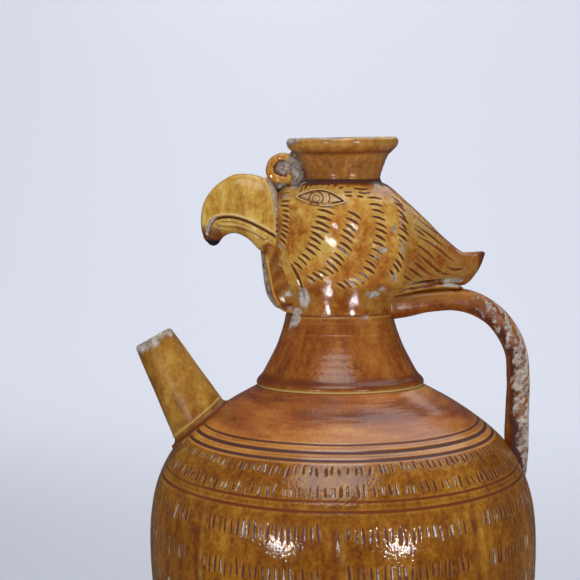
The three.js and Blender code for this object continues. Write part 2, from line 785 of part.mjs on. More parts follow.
// Stands a piece that is turned upright, tip at zero and running down to its seat, on the spout's axis.
function placedOnSpout(geometry) {
  const seatZ = bellyZ + shoulderRise * spoutSeatShare;
  const seatX = -radiusOn(shoulderLine)(seatZ);
  const lean = spoutLean * degrees;
  return geometry
    .rotateX(Math.PI)
    .rotateY(-lean)
    .translate(seatX - spoutSeatLength * Math.sin(lean), 0, seatZ + spoutSeatLength * Math.cos(lean));
}

function buildSpout() {
  const outerGrowth = (spoutSeatRadius - spoutTipRadius) / spoutSeatLength;
  const boreGrowth = (spoutBoreSeatRadius - spoutBoreTipRadius) / spoutSeatLength;
  const flareStart = spoutSeatLength - spoutFlareLength;
  const profile = [
    [spoutBoreTipRadius, 0],
    [spoutTipRadius - spoutLip, 0],
    [spoutTipRadius, spoutLip],
    [spoutTipRadius + outerGrowth * flareStart, flareStart],
    [spoutSeatRadius + spoutFlare, spoutSeatLength + spoutFlare],
    [spoutSeatRadius + outerGrowth * (spoutLength - spoutSeatLength), spoutLength],
    [spoutBoreTipRadius + boreGrowth * spoutLength, spoutLength],
    [spoutBoreTipRadius, 0],
  ];
  const tube = placedOnSpout(turned(profile, spoutSegments));
  return geometryOf(solidOf(tube).subtract(shoulderMass(jointGap)));
}

// Materials and the assembly

const amber = { color: 0xa8681c, roughness: 0.24, metalness: 0 };
const deepAmber = { color: 0x8a4a16, roughness: 0.24, metalness: 0 };
const goldenAmber = { color: 0xb67c26, roughness: 0.26, metalness: 0 };
const bareClay = { color: 0xa6968a, roughness: 0.85, metalness: 0 };

const ewer = new THREE.Group();

function addPiece(name, geometry, finish) {
  const mesh = new THREE.Mesh(weld(geometry), new THREE.MeshStandardMaterial(finish));
  mesh.name = name;
  ewer.add(mesh);
}

addPiece('foot', buildFoot(), bareClay);
addPiece('lower_body', buildLowerBody(), amber);
addPiece('shoulder', buildShoulder(), deepAmber);
addPiece('neck', buildNeck(), deepAmber);
addPiece('head', buildHead(), amber);
addPiece('mouth_cup', placeCup(buildCup()), amber);
addPiece('upper_beak', buildUpperBeak(), goldenAmber);
addPiece('lower_beak', buildLowerBeak(), goldenAmber);
addPiece('crest_scroll', buildScroll(), amber);
addPiece('eye_right', buildEye(-1), goldenAmber);
addPiece('eye_left', buildEye(1), goldenAmber);
addPiece('wattle_right', buildWattle(-1, 0), amber);
addPiece('wattle_left', buildWattle(1, farWattleLead), amber);
addPiece('nape_plume', buildPlume(), amber);
addPiece('handle', buildHandle(), deepAmber);
addPiece('spout', buildSpout(), goldenAmber);

export default ewer;
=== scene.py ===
import math

import bpy
import numpy as np
from mathutils import Matrix, Vector


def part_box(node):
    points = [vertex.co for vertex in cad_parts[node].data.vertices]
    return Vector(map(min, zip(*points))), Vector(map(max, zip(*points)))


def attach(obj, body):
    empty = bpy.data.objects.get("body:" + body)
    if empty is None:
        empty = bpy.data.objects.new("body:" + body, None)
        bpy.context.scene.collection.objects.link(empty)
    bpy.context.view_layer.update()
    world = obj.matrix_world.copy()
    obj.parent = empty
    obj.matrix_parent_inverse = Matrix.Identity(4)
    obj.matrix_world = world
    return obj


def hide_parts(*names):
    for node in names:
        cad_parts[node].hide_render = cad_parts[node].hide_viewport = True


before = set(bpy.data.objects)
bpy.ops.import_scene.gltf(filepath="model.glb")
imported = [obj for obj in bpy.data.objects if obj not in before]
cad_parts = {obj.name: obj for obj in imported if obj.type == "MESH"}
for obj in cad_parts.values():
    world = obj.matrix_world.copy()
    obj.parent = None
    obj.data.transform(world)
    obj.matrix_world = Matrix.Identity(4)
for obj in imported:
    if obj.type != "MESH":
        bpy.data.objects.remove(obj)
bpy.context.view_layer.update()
mm = 0.001


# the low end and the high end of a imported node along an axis, in millimetres
def lowOf(node, axis):
    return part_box(node)[0][axis] / mm


def highOf(node, axis):
    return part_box(node)[1][axis] / mm


# heights where one thrown piece stands on the next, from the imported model
heights = {
    "waist": highOf("foot", 2),
    "belly": highOf("lower_body", 2),
    "neck": highOf("shoulder", 2),
    "head": highOf("neck", 2),
    "crown": highOf("head", 2),
}


# A smooth line through given points: cubic runs whose slope at a point is the mean of the slopes of the
# two runs beside it.
def smoothThrough(stations, values, where):
    stations = np.asarray(stations, float)
    values = np.asarray(values, float).reshape(len(stations), -1)
    run = np.diff(stations)[:, None]
    rise = np.diff(values, axis=0) / run
    slope = np.empty_like(values)
    slope[1:-1] = (rise[:-1] * run[1:] + rise[1:] * run[:-1]) / (run[:-1] + run[1:])
    slope[0] = rise[0]
    slope[-1] = rise[-1]
    where = np.clip(np.asarray(where, float), stations[0], stations[-1])
    k = np.clip(np.searchsorted(stations, where, side="right") - 1, 0, len(stations) - 2)
    t = ((where - stations[k]) / run[k, 0])[..., None]
    rest = 1 - t
    return (
        values[k] * (1 + 2 * t) * rest**2
        + run[k] * slope[k] * t * rest**2
        + values[k + 1] * (3 - 2 * t) * t**2
        - run[k] * slope[k + 1] * rest * t**2
    )


# the share of a path's length at each of its points
def pathShares(points):
    points = np.asarray(points, float)
    run = np.hypot(*np.diff(points[:, :2], axis=0).T)
    return np.concatenate([[0], np.cumsum(run)]) / run.sum()


# points of a profile from shares of the way between two radii and between two heights
def profilePoints(shares, innerRadius, outerRadius, low, high):
    across, up = np.array(shares).T
    return np.stack([innerRadius + (outerRadius - innerRadius) * across, low + (high - low) * up], -1)


# 0 below the low value, 1 above the high one, and an S between them
def ease(low, high, value):
    t = np.clip((value - low) / (high - low), 0, 1)
    return t * t * (3 - 2 * t)


# a bell: 1 at the middle, falling to a third at one width from it
def bell(distance, width):
    return np.exp(-((distance / width) ** 2))


# bends a value between -1 and 1 by a power and keeps its sign: powers under 1 square a round section
def bent(value, power):
    return np.sign(value) * np.abs(value) ** power


# even angles round one full turn
def fullTurn(count):
    return np.arange(count) * 2 * math.pi / count


# points at a radius, an angle from the front and a height
def turnedGrid(radius, angle, height):
    return np.stack([radius * np.sin(angle), -radius * np.cos(angle), height], -1)


# a slow uneven wave of about unit height, from four sines that never repeat together
def unevenWave(a, b, seed):
    waves = np.random.default_rng(seed).uniform(0.5, 1.5, (4, 2))
    turns = np.random.default_rng(seed + 1).uniform(0, 2 * math.pi, 4)
    return sum(np.sin(a * w[0] * (i + 1) + b * w[1] * (i + 1) + turns[i]) for i, w in enumerate(waves)) / 2.4


# the outward direction of a grid: the cross product of its two runs of neighbours
def gridNormals(grid, wrapColumns=True):
    if wrapColumns:
        wide = np.concatenate([grid[:, -1:], grid, grid[:, :1]], 1)
        across = (wide[:, 2:] - wide[:, :-2]) / 2
    else:
        across = np.gradient(grid, axis=1)
    up = np.gradient(grid, axis=0)
    normal = np.cross(across, up)
    return normal / np.maximum(np.linalg.norm(normal, axis=-1, keepdims=True), 1e-9)


# shade fields that ride on the vertices: glaze pooled thick with some painted shade, glaze run thin with some
# painted sheen and highlight, and clay laid bare
fieldNames = ("pooled_and_shade", "thin", "bare")


# a full set of fields, all at zero
def noFields(shape):
    return {name: np.zeros(shape) for name in fieldNames}


# lifts a shade field to at least the given strength, all over or at some of its places
def raiseField(fields, key, strength, where=...):
    fields[key][where] = np.maximum(fields[key][where], strength)


# sets the fields of several grids one behind the other, down the rows or along the columns
def joinFields(parts, axis=0):
    return {key: np.concatenate([part[key] for part in parts], axis) for key in fieldNames}


# the fields of some rows or columns of a grid
def pickFields(fields, where):
    return {key: fields[key][where] for key in fieldNames}


# Puts a grid into a mesh. Columns run round; rows run round too, or end in a pole at either end.
def skin(name, grid, fields, material, loopRows=False, sharpAngle=52):
    rows, columns = grid.shape[:2]
    points = grid.reshape(-1, 3)
    index = np.arange(rows * columns).reshape(rows, columns)
    here = index if loopRows else index[:-1]
    above = np.roll(index, -1, 0) if loopRows else index[1:]
    quads = np.stack([here, np.roll(here, -1, 1), np.roll(above, -1, 1), above], -1).reshape(-1, 4)
    fans = np.zeros((0, 3), int)
    values = {key: fields[key].reshape(-1) for key in fieldNames}
    if not loopRows:
        first, last = index[0], index[-1]
        bottom, top = len(points), len(points) + 1
        points = np.concatenate([points, grid[:1].mean(1), grid[-1:].mean(1)])
        fans = np.concatenate([
            np.stack([np.full(columns, bottom), np.roll(first, -1), first], -1),
            np.stack([np.full(columns, top), last, np.roll(last, -1)], -1),
        ])
        values = {key: np.concatenate([v, [fields[key][0].mean(), fields[key][-1].mean()]])
                  for key, v in values.items()}
    a, b, c, d = (points[quads[:, i]] for i in range(4))
    volume = np.sum(a * (np.cross(b, c) + np.cross(c, d)))
    if len(fans):
        volume += np.sum(points[fans[:, 0]] * np.cross(points[fans[:, 1]], points[fans[:, 2]]))
    if volume < 0:
        quads, fans = quads[:, ::-1], fans[:, ::-1]
    corners = np.concatenate([quads.reshape(-1), fans.reshape(-1)]).astype(np.int32)
    starts = np.concatenate([np.arange(len(quads)) * 4, len(quads) * 4 + np.arange(len(fans)) * 3])
    mesh = bpy.data.meshes.new(name)
    mesh.vertices.add(len(points))
    mesh.vertices.foreach_set("co", (points * mm).astype(np.float32).reshape(-1))
    mesh.loops.add(len(corners))
    mesh.loops.foreach_set("vertex_index", corners)
    mesh.polygons.add(len(starts))
    mesh.polygons.foreach_set("loop_start", starts.astype(np.int32))
    mesh.update(calc_edges=True)
    mesh.polygons.foreach_set("use_smooth", np.ones(len(starts), bool))
    mesh.set_sharp_from_angle(angle=math.radians(sharpAngle))
    for key, value in values.items():
        layer = mesh.attributes.new(key, "FLOAT", "POINT")
        layer.data.foreach_set("value", np.clip(value, 0, 1).astype(np.float32))
    mesh.materials.append(material)
    piece = bpy.data.objects.new(name, mesh)
    bpy.context.scene.collection.objects.link(piece)
    return piece


# makes a piece and puts it on the root body, in place of its imported node, with its material; the slot name
# is not used
def lay(name, node, slotName, grid, fields, material, loopRows=False):
    piece = skin(name, grid, fields, material, loopRows)
    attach(piece, "root")
    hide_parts(node)


# how a cut line narrows to its ends, and its groove and lip as shares of its width and depth
cutValues = {
    "reach": 1.5,
    "taperPower": 0.4,
    "leastWidth": 0.3,
    "leastDepth": 0.2,
    "grooveWidth": 0.85,
    "lipPlace": 1.7,
    "lipWidth": 0.28,
    "lipHeight": 0.3,
    "dark": 0.9,
    "pale": 0.7,
}


# Cuts lines into a surface seen from the side: a rounded groove that narrows to both ends, and a low lip
# beside it. Each line is a path with a width and a depth; its fill is the share of clay dust that it holds.
def carveLines(x, z, lines, fields, depth):
    v = cutValues
    for line in lines:
        path = np.asarray(line["path"], float)
        width = line["width"]
        reach = width * v["reach"]
        low, high = path.min(0) - reach, path.max(0) + reach
        near = np.nonzero((x > low[0]) & (x < high[0]) & (z > low[1]) & (z < high[1]) & line["side"])
        if not len(near[0]):
            continue
        px, pz = x[near], z[near]
        gap = np.full(px.shape, 1e9)
        share = np.zeros(px.shape)
        runs = np.hypot(*np.diff(path, axis=0).T)
        start = 0
        for (x0, z0), (x1, z1), run in zip(path[:-1], path[1:], runs):
            t = np.clip(((px - x0) * (x1 - x0) + (pz - z0) * (z1 - z0)) / run**2, 0, 1)
            away = np.hypot(px - x0 - t * (x1 - x0), pz - z0 - t * (z1 - z0))
            closer = away < gap
            gap = np.where(closer, away, gap)
            share = np.where(closer, (start + t * run) / runs.sum(), share)
            start += run
        taper = np.clip(4 * share * (1 - share), 0, 1) ** v["taperPower"]
        half = width / 2 * np.maximum(taper, v["leastWidth"])
        groove = bell(gap, half * v["grooveWidth"]) * np.maximum(taper, v["leastDepth"])
        lip = bell(gap - half * v["lipPlace"], width * v["lipWidth"]) * taper
        change = lip * line["depth"] * v["lipHeight"] - groove * line["depth"]
        depth[near] = np.where(change < depth[near], change, np.maximum(depth[near], change))
        raiseField(fields, "pooled_and_shade", groove * line.get("dark", v["dark"]), near)
        raiseField(fields, "thin", lip * line.get("pale", v["pale"]), near)
        raiseField(fields, "bare", groove**0.5 * line.get("fill", 0), near)


# Lays patches of bare clay: each is a place, two half sizes and a strength.
def layPatches(a, b, patches, fields):
    for pa, pb, ra, rb, strength in patches:
        spot = bell(np.hypot((a - pa) / ra, (b - pb) / rb), 1) * strength
        raiseField(fields, "bare", spot)


# Builds the nodes of a material or of the world: adds a node with its settings and inputs, and links or sets
# each input.
class NodeTree:
    def __init__(self, owner):
        owner.use_nodes = True
        self.tree = owner.node_tree
        self.tree.nodes.clear()

    def add(self, kind, settings=None, **inputs):
        node = self.tree.nodes.new(kind)
        for key, value in (settings or {}).items():
            setattr(node, key, value)
        for key, value in inputs.items():
            self.put(node, key, value)
        return node

    def put(self, node, key, value):
        socket = node.inputs[int(key[2:])] if key.startswith("in") and key[2:].isdigit() else node.inputs[key]
        if isinstance(value, bpy.types.NodeSocket):
            self.tree.links.new(value, socket)
        else:
            socket.default_value = value

    def count(self, operation, a, b, clamp=False):
        node = self.add("ShaderNodeMath", {"operation": operation, "use_clamp": clamp}, in0=a, in1=b, in2=0.0)
        return node.outputs[0]

    def plus(self, a, b):
        return self.count("ADD", a, b)

    def minus(self, a, b):
        return self.count("SUBTRACT", a, b)

    def times(self, a, b, clamp=False):
        return self.count("MULTIPLY", a, b, clamp)

    def attribute(self, name):
        return self.add("ShaderNodeAttribute", {"attribute_name": name}).outputs["Fac"]

    def noise(self, vector, scale, detail=3.0, roughness=0.55):
        node = self.add("ShaderNodeTexNoise", Vector=vector, Scale=scale, Detail=detail, Roughness=roughness)
        return node.outputs["Fac"]

    def spread(self, value, low, high, first=0.0, last=1.0):
        node = self.add("ShaderNodeMapRange", {"interpolation_type": "SMOOTHSTEP"},
                        in0=value, in1=low, in2=high, in3=first, in4=last)
        return node.outputs[0]

    def ramp(self, value, placesName, colours):
        node = self.add("ShaderNodeValToRGB", in0=value)
        elements = node.color_ramp.elements
        while len(elements) < len(colours):
            elements.new(0.5)
        for element, place, colour in zip(elements, rampPlaces[placesName], colours):
            element.position = place
            element.color = (*colour, 1)
        return node.outputs["Color"]

    def mix(self, share, a, b):
        node = self.add("ShaderNodeMix", {"data_type": "RGBA"})
        self.put(node, "in0", share)
        for i, value in ((6, a), (7, b)):
            self.put(node, f"in{i}", value if isinstance(value, bpy.types.NodeSocket) else (*value, 1))
        return node.outputs[2]


print("frame loaded")


# Camera and studio

cameraValues = {
    "distance": 490,
    "height": 323,
    "yaw": 2.96,
    "pitch": 3.04,
    "roll": -0.64,
    "focalPixels": 950,
    "imagePixels": 580,
    "sensor": 36,
    "nearClip": 0.01,
    "farClip": 20,
}


# The camera looks along +Y turned by yaw and pitch and is rolled about that line. Its lens is the sensor's
# width times the focal length in pixels over the picture's width in pixels.
def makeCamera():
    v = cameraValues
    yaw, pitch, roll = (math.radians(v[key]) for key in ("yaw", "pitch", "roll"))
    forward = Vector((-math.sin(yaw) * math.cos(pitch), math.cos(yaw) * math.cos(pitch), -math.sin(pitch)))
    level = Vector((math.cos(yaw), math.sin(yaw), 0))
    upright = level.cross(forward)
    right = level * math.cos(roll) + upright * math.sin(roll)
    up = upright * math.cos(roll) - level * math.sin(roll)
    data = bpy.data.cameras.new("camera")
    data.sensor_width = v["sensor"]
    data.lens = v["sensor"] * v["focalPixels"] / v["imagePixels"]
    data.clip_start, data.clip_end = v["nearClip"], v["farClip"]
    camera = bpy.data.objects.new("camera", data)
    bpy.context.scene.collection.objects.link(camera)
    turn = Matrix((right, up, -forward)).transposed().to_4x4()
    camera.matrix_world = Matrix.Translation((0, -v["distance"] * mm, v["height"] * mm)) @ turn
    bpy.context.scene.camera = camera


studioValues = {
    "floorHalfWidth": 3.0,
    "floorFront": -2.6,
    "sweepStart": 1.1,
    "sweepRadius": 0.8,
    "sweepTop": 2.6,
    "flatRows": 12,
    "turnRows": 25,
    "wallRows": 8,
    "columns": 7,
    "paper": (0.72, 0.752, 0.835),
    "skyLight": (0.95, 0.97, 1.0),
    "skyStrength": 0.38,
    "mirroredStrength": 0.1,
    "seenStrength": 0.88,
    "mirroredPaper": (0.07, 0.075, 0.09),
    # the paper's shade on the floor near the ewer, and how far back it clears
    "nearShade": 0.82,
    "clearFrom": 0.3,
    "clearBy": 1.5,
    # the even shade of the backdrop, and its share where the paper stands up
    "evenPaper": (0.73, 0.76, 0.855),
    "evenShare": 0.82,
}

# each lamp: place, what it faces, width, watts, colour and whether glaze mirrors it
lampValues = {
    "lampOver": ((-0.06, -0.47, 1.12), (0, 0, 0.24), 0.72, 4.1, (1, 0.985, 0.97), True),
    "lampRear": ((0.3, 0.42, 1.15), (0, 0, 0.24), 1.2, 4.4, (1, 0.985, 0.97), True),
    "lampLeft": ((-0.2, -0.355, 0.225), (0, 0, 0.24), 0.026, 0.3, (1, 0.99, 0.97), True),
    "lampRight": ((0.195, -0.355, 0.225), (0, 0, 0.24), 0.026, 0.35, (1, 0.99, 0.97), True),
    "lampBackdrop": ((-0.3, 1.17, 1.6), (0.95, 1.9, 0.71), 0.8, 15.0, (1, 1, 1), False),
}


# The floor runs back flat, turns up on a quarter circle and stands as the backdrop. Its paper is shaded near
# the ewer, and where it stands up the camera sees it at an even shade.
def makeStage():
    v = studioValues
    flat = np.linspace(v["floorFront"], v["sweepStart"], v["flatRows"])
    turn = np.linspace(0, math.pi / 2, v["turnRows"])[1:]
    rise = np.linspace(v["sweepRadius"], v["sweepTop"], v["wallRows"])[1:]
    y = np.concatenate([flat, v["sweepStart"] + v["sweepRadius"] * np.sin(turn),
                        np.full(len(rise), v["sweepStart"] + v["sweepRadius"])])
    z = np.concatenate([np.zeros(len(flat)), v["sweepRadius"] * (1 - np.cos(turn)), rise])
    x = np.linspace(-v["floorHalfWidth"], v["floorHalfWidth"], v["columns"])
    grid = np.stack(np.broadcast_arrays(x[None, :], y[:, None], z[:, None]), -1)
    index = np.arange(grid.shape[0] * grid.shape[1]).reshape(grid.shape[:2])
    quads = np.stack([index[:-1, :-1], index[:-1, 1:], index[1:, 1:], index[1:, :-1]], -1).reshape(-1, 4)
    mesh = bpy.data.meshes.new("paper_sweep")
    mesh.from_pydata(grid.reshape(-1, 3).tolist(), [], quads.tolist())
    mesh.polygons.foreach_set("use_smooth", np.ones(len(quads), bool))
    material = bpy.data.materials.new("pale_paper")
    t = NodeTree(material)
    mirrored = t.add("ShaderNodeLightPath").outputs["Is Glossy Ray"]
    shader = t.add("ShaderNodeBsdfPrincipled", Roughness=0.95)
    place = t.add("ShaderNodeSeparateXYZ", in0=t.add("ShaderNodeTexCoord").outputs["Object"])
    clear = t.spread(place.outputs["Y"], v["clearFrom"], v["clearBy"])
    paper = t.mix(clear, tuple(v["nearShade"] * c for c in v["paper"]), v["paper"])
    t.put(shader, "Base Color", t.mix(mirrored, paper, v["mirroredPaper"]))
    t.put(shader, "Specular IOR Level", 0.1)
    even = t.add("ShaderNodeEmission", Color=(*v["evenPaper"], 1))
    seen = t.add("ShaderNodeLightPath").outputs["Is Camera Ray"]
    share = t.times(t.times(clear, seen), v["evenShare"])
    t.add("ShaderNodeOutputMaterial", in0=t.add("ShaderNodeMixShader", in0=share, in1=shader.outputs[0],
                                                in2=even.outputs[0]).outputs[0])
    mesh.materials.append(material)
    sweep = bpy.data.objects.new("paper_sweep", mesh)
    bpy.context.scene.collection.objects.link(sweep)


# round area lamps, each turned to face its target
def makeLamps():
    for name, (place, target, width, watts, colour, mirrored) in lampValues.items():
        data = bpy.data.lights.new(name, "AREA")
        data.shape = "DISK"
        data.size = width
        data.energy = watts
        data.color = colour
        lamp = bpy.data.objects.new(name, data)
        lamp.location = place
        lamp.visible_glossy = mirrored
        aim = Vector(target) - Vector(place)
        lamp.rotation_euler = aim.to_track_quat("-Z", "Y").to_euler()
        bpy.context.scene.collection.objects.link(lamp)


# The air lights the ewer evenly, is dim where the glaze mirrors it, and has the paper's colour to the camera.
def makeSky():
    v = studioValues
    world = bpy.data.worlds.new("studio_air")
    bpy.context.scene.world = world
    t = NodeTree(world)
    rays = t.add("ShaderNodeLightPath").outputs
    skies = ((v["skyLight"], v["skyStrength"]), (v["skyLight"], v["mirroredStrength"]),
             (v["paper"], v["seenStrength"]))
    air, mirrored, seen = (t.add("ShaderNodeBackground", Color=(*colour, 1), Strength=strength).outputs[0]
                           for colour, strength in skies)
    for ray, sky in (("Is Glossy Ray", mirrored), ("Is Camera Ray", seen)):
        air = t.add("ShaderNodeMixShader", in0=rays[ray], in1=air, in2=sky).outputs[0]
    t.add("ShaderNodeOutputWorld", in0=air)


makeCamera()
makeStage()
makeLamps()
makeSky()
bpy.context.scene.view_settings.view_transform = "Standard"
print("camera and studio made")


# Glaze and clay

glazeValues = {
    "deep": (0.15, 0.034, 0.007),
    "pooled_and_shade": (0.070, 0.030, 0.032),
    "burnt": (0.016, 0.012, 0.016),
    "thin": (0.68, 0.44, 0.10),
    "lip": (0.78, 0.62, 0.36),
    "clay": (0.56, 0.49, 0.42),
    "clayShade": (0.24, 0.185, 0.16),
    "clayRoughness": 0.85,
    "cloudScale": 42,
    "mottleScale": 175,
    "speckScale": 560,
    "edgeScale": 320,
    "dustScale": 300,
    "peelScale": 780,
    "grainScale": 1500,
    "rippleScale": 420,
    # the sum of bareness and ragged noise over which glaze gives way to clay
    "wornFrom": 0.36,
    "wornBy": 0.62,
    "reliefStrength": 0.55,
    "reliefDepth": 0.0004,
    "refraction": 1.55,
}


# A lead glaze over buff clay: clouds of deep and light amber drawn out by the streak scales, mottling and
# fine specks, thin pale runs over edges with some painted sheen, dark pools in the cuts with some painted
# shade, and clay where the glaze has gone.
def makeGlaze(name, rampName, streak=(1, 1, 1), cloudSize=1.0, cloudDetail=5.0, speck=0.22, mottle=0.28,
              contrast=1.7, roughness=0.09, shine=0.5, ragged=1.5, peeled=0.5, ripple=0.0, grainShare=1.0):
    v = glazeValues
    material = bpy.data.materials.new(name)
    t = NodeTree(material)
    place = t.add("ShaderNodeTexCoord").outputs["Object"]
    drawn = t.add("ShaderNodeMapping", in0=place)
    drawn.inputs["Scale"].default_value = streak
    clouds = t.noise(drawn.outputs[0], v["cloudScale"] / cloudSize, cloudDetail, 0.62)
    mottling = t.noise(drawn.outputs[0], v["mottleScale"], 3.0, 0.6)
    specks = t.noise(place, v["speckScale"], 3.0, 0.6)
    tone = t.plus(t.times(clouds, 1 - speck - mottle), t.times(specks, speck))
    tone = t.plus(tone, t.times(mottling, mottle))
    tone = t.plus(t.times(t.minus(tone, 0.5), contrast), 0.5)
    pooled_and_shade = t.attribute("pooled_and_shade")
    thin = t.attribute("thin")
    bare = t.attribute("bare")
    colour = t.ramp(tone, *glazeRamps[rampName])
    colour = t.mix(t.times(thin, 0.85, clamp=True), colour, v["thin"])
    colour = t.mix(t.spread(thin, 0.6, 1.0, 0.0, 0.75), colour, v["lip"])
    colour = t.mix(t.spread(pooled_and_shade, 0.03, 0.5), colour, v["deep"])
    colour = t.mix(t.spread(pooled_and_shade, 0.5, 0.9), colour, v["pooled_and_shade"])
    colour = t.mix(t.spread(pooled_and_shade, 0.93, 1.0), colour, v["burnt"])
    edge = t.times(t.minus(t.noise(place, v["edgeScale"], 7.0, 0.8), 0.5), ragged)
    worn = t.spread(t.plus(bare, edge), v["wornFrom"], v["wornBy"])
    worn = t.times(worn, t.spread(bare, 0.02, 0.16))
    dust = t.spread(t.noise(place, v["dustScale"], 6.0, 0.75), 0.38, 0.6, 1 - grainShare)
    clay = t.mix(dust, v["clayShade"], v["clay"])
    colour = t.mix(worn, colour, clay)
    sheen = t.spread(clouds, 0.3, 0.7, roughness * 0.85, roughness * 1.25)
    sheen = t.plus(sheen, t.spread(pooled_and_shade, 0.5, 0.72, 0.0, 0.25))
    rough = t.plus(t.times(sheen, t.minus(1.0, worn)), t.times(worn, v["clayRoughness"]))
    peel = t.noise(place, v["peelScale"], 2.0, 0.6)
    grain = t.noise(place, v["grainScale"], 4.0, 0.7)
    relief = t.plus(t.times(peel, peeled), t.times(t.minus(grain, 1.4), t.times(worn, 1.1)))
    if ripple:
        thrown = t.add("ShaderNodeMapping", in0=place)
        thrown.inputs["Scale"].default_value = (0.06, 0.06, 1)
        waves = t.noise(thrown.outputs[0], v["rippleScale"], 2.0, 0.5)
        relief = t.plus(relief, t.times(waves, ripple))
    bump = t.add("ShaderNodeBump", Height=relief, Strength=v["reliefStrength"], Distance=v["reliefDepth"])
    shader = t.add("ShaderNodeBsdfPrincipled", Roughness=rough, Normal=bump.outputs[0])
    t.put(shader, "Base Color", colour)
    shader.inputs["IOR"].default_value = v["refraction"]
    t.put(shader, "Specular IOR Level", t.spread(pooled_and_shade, 0.5, 0.75, shine, shine * 0.35))
    t.add("ShaderNodeOutputMaterial", in0=shader.outputs[0])
    return material


# where the colours of a ramp lie
rampPlaces = {
    "amber": (0.28, 0.42, 0.53, 0.64, 0.78),
    "head": (0.28, 0.41, 0.52, 0.63, 0.76),
    "golden": (0.28, 0.41, 0.52, 0.65, 0.78),
}

# each glaze's ramp of clouds, from its thickest to its thinnest: its places and its colours
glazeRamps = {
    "body": ("amber", ((0.10, 0.025, 0.004), (0.19, 0.060, 0.005), (0.27, 0.099, 0.008),
                       (0.36, 0.156, 0.015), (0.50, 0.265, 0.040))),
    "deep": ("amber", ((0.125, 0.026, 0.006), (0.235, 0.060, 0.007), (0.33, 0.098, 0.010),
                       (0.42, 0.150, 0.016), (0.52, 0.24, 0.035))),
    "head": ("head", ((0.29, 0.064, 0.010), (0.45, 0.148, 0.018), (0.56, 0.262, 0.042),
                      (0.65, 0.39, 0.085), (0.73, 0.50, 0.14))),
    "collar": ("amber", ((0.15, 0.034, 0.010), (0.27, 0.072, 0.014), (0.37, 0.112, 0.020),
                         (0.47, 0.175, 0.032), (0.62, 0.30, 0.065))),
    "neck": ("amber", ((0.135, 0.030, 0.006), (0.225, 0.060, 0.008), (0.295, 0.088, 0.011),
                       (0.37, 0.130, 0.017), (0.48, 0.22, 0.035))),
    "eye": ("golden", ((0.34, 0.165, 0.075), (0.43, 0.24, 0.125), (0.50, 0.30, 0.165),
                       (0.57, 0.36, 0.21), (0.64, 0.44, 0.28))),
    "spout": ("golden", ((0.19, 0.058, 0.009), (0.29, 0.115, 0.013), (0.375, 0.175, 0.022),
                         (0.47, 0.25, 0.04), (0.56, 0.35, 0.09))),
    "cup": ("amber", ((0.19, 0.048, 0.010), (0.33, 0.110, 0.018), (0.43, 0.168, 0.028),
                      (0.54, 0.245, 0.044), (0.65, 0.37, 0.09))),
    "gold": ("golden", ((0.33, 0.12, 0.018), (0.47, 0.225, 0.032), (0.58, 0.33, 0.052),
                        (0.68, 0.44, 0.095), (0.78, 0.57, 0.18))),
}

bellyGlaze = makeGlaze("amber_glaze_belly", "body", streak=(1, 1, 0.6), cloudSize=2.2, speck=0.26,
                       mottle=0.3, contrast=1.65, peeled=0.66, grainShare=0.5)
shoulderGlaze = makeGlaze("deep_amber_glaze_shoulder", "collar", streak=(0.25, 0.25, 1.9), cloudSize=1.0,
                          cloudDetail=3.6, speck=0.14, mottle=0.12, contrast=2.1, roughness=0.21, shine=0.9,
                          peeled=0.3, ripple=1.6)
neckGlaze = makeGlaze("deep_amber_glaze_neck", "neck", streak=(1.5, 1.5, 0.5), cloudSize=1.1, contrast=1.6,
                      roughness=0.2, ripple=0.015, shine=0.5)
headGlaze = makeGlaze("amber_glaze_head", "head", cloudSize=0.75, contrast=2.0)
eyeGlaze = makeGlaze("golden_glaze_eye", "eye", cloudSize=0.4, roughness=0.2)
cupGlaze = makeGlaze("amber_glaze_cup", "cup", streak=(1.8, 1.8, 0.4), cloudSize=0.7, contrast=1.5,
                     roughness=0.16, shine=0.65)
beakGlaze = makeGlaze("golden_glaze_beak", "gold", streak=(1.5, 1.5, 0.6), cloudSize=0.75, speck=0.2,
                      mottle=0.3, contrast=2.15, roughness=0.24, peeled=0.2, shine=0.4)
spoutGlaze = makeGlaze("golden_glaze_spout", "spout", streak=(1.2, 1.2, 0.8), cloudSize=0.7,
                       roughness=0.38, shine=0.22, peeled=0.2)
handleGlaze = makeGlaze("deep_amber_glaze_handle", "deep", cloudSize=0.8, roughness=0.24, ragged=2.1,
                        shine=0.32, grainShare=0.85)
clayBody = makeGlaze("bare_clay_foot", "body", cloudSize=1.0, grainShare=0.5)
print("glazes made")


# Body: lower half, shoulder and the ring where the neck stands

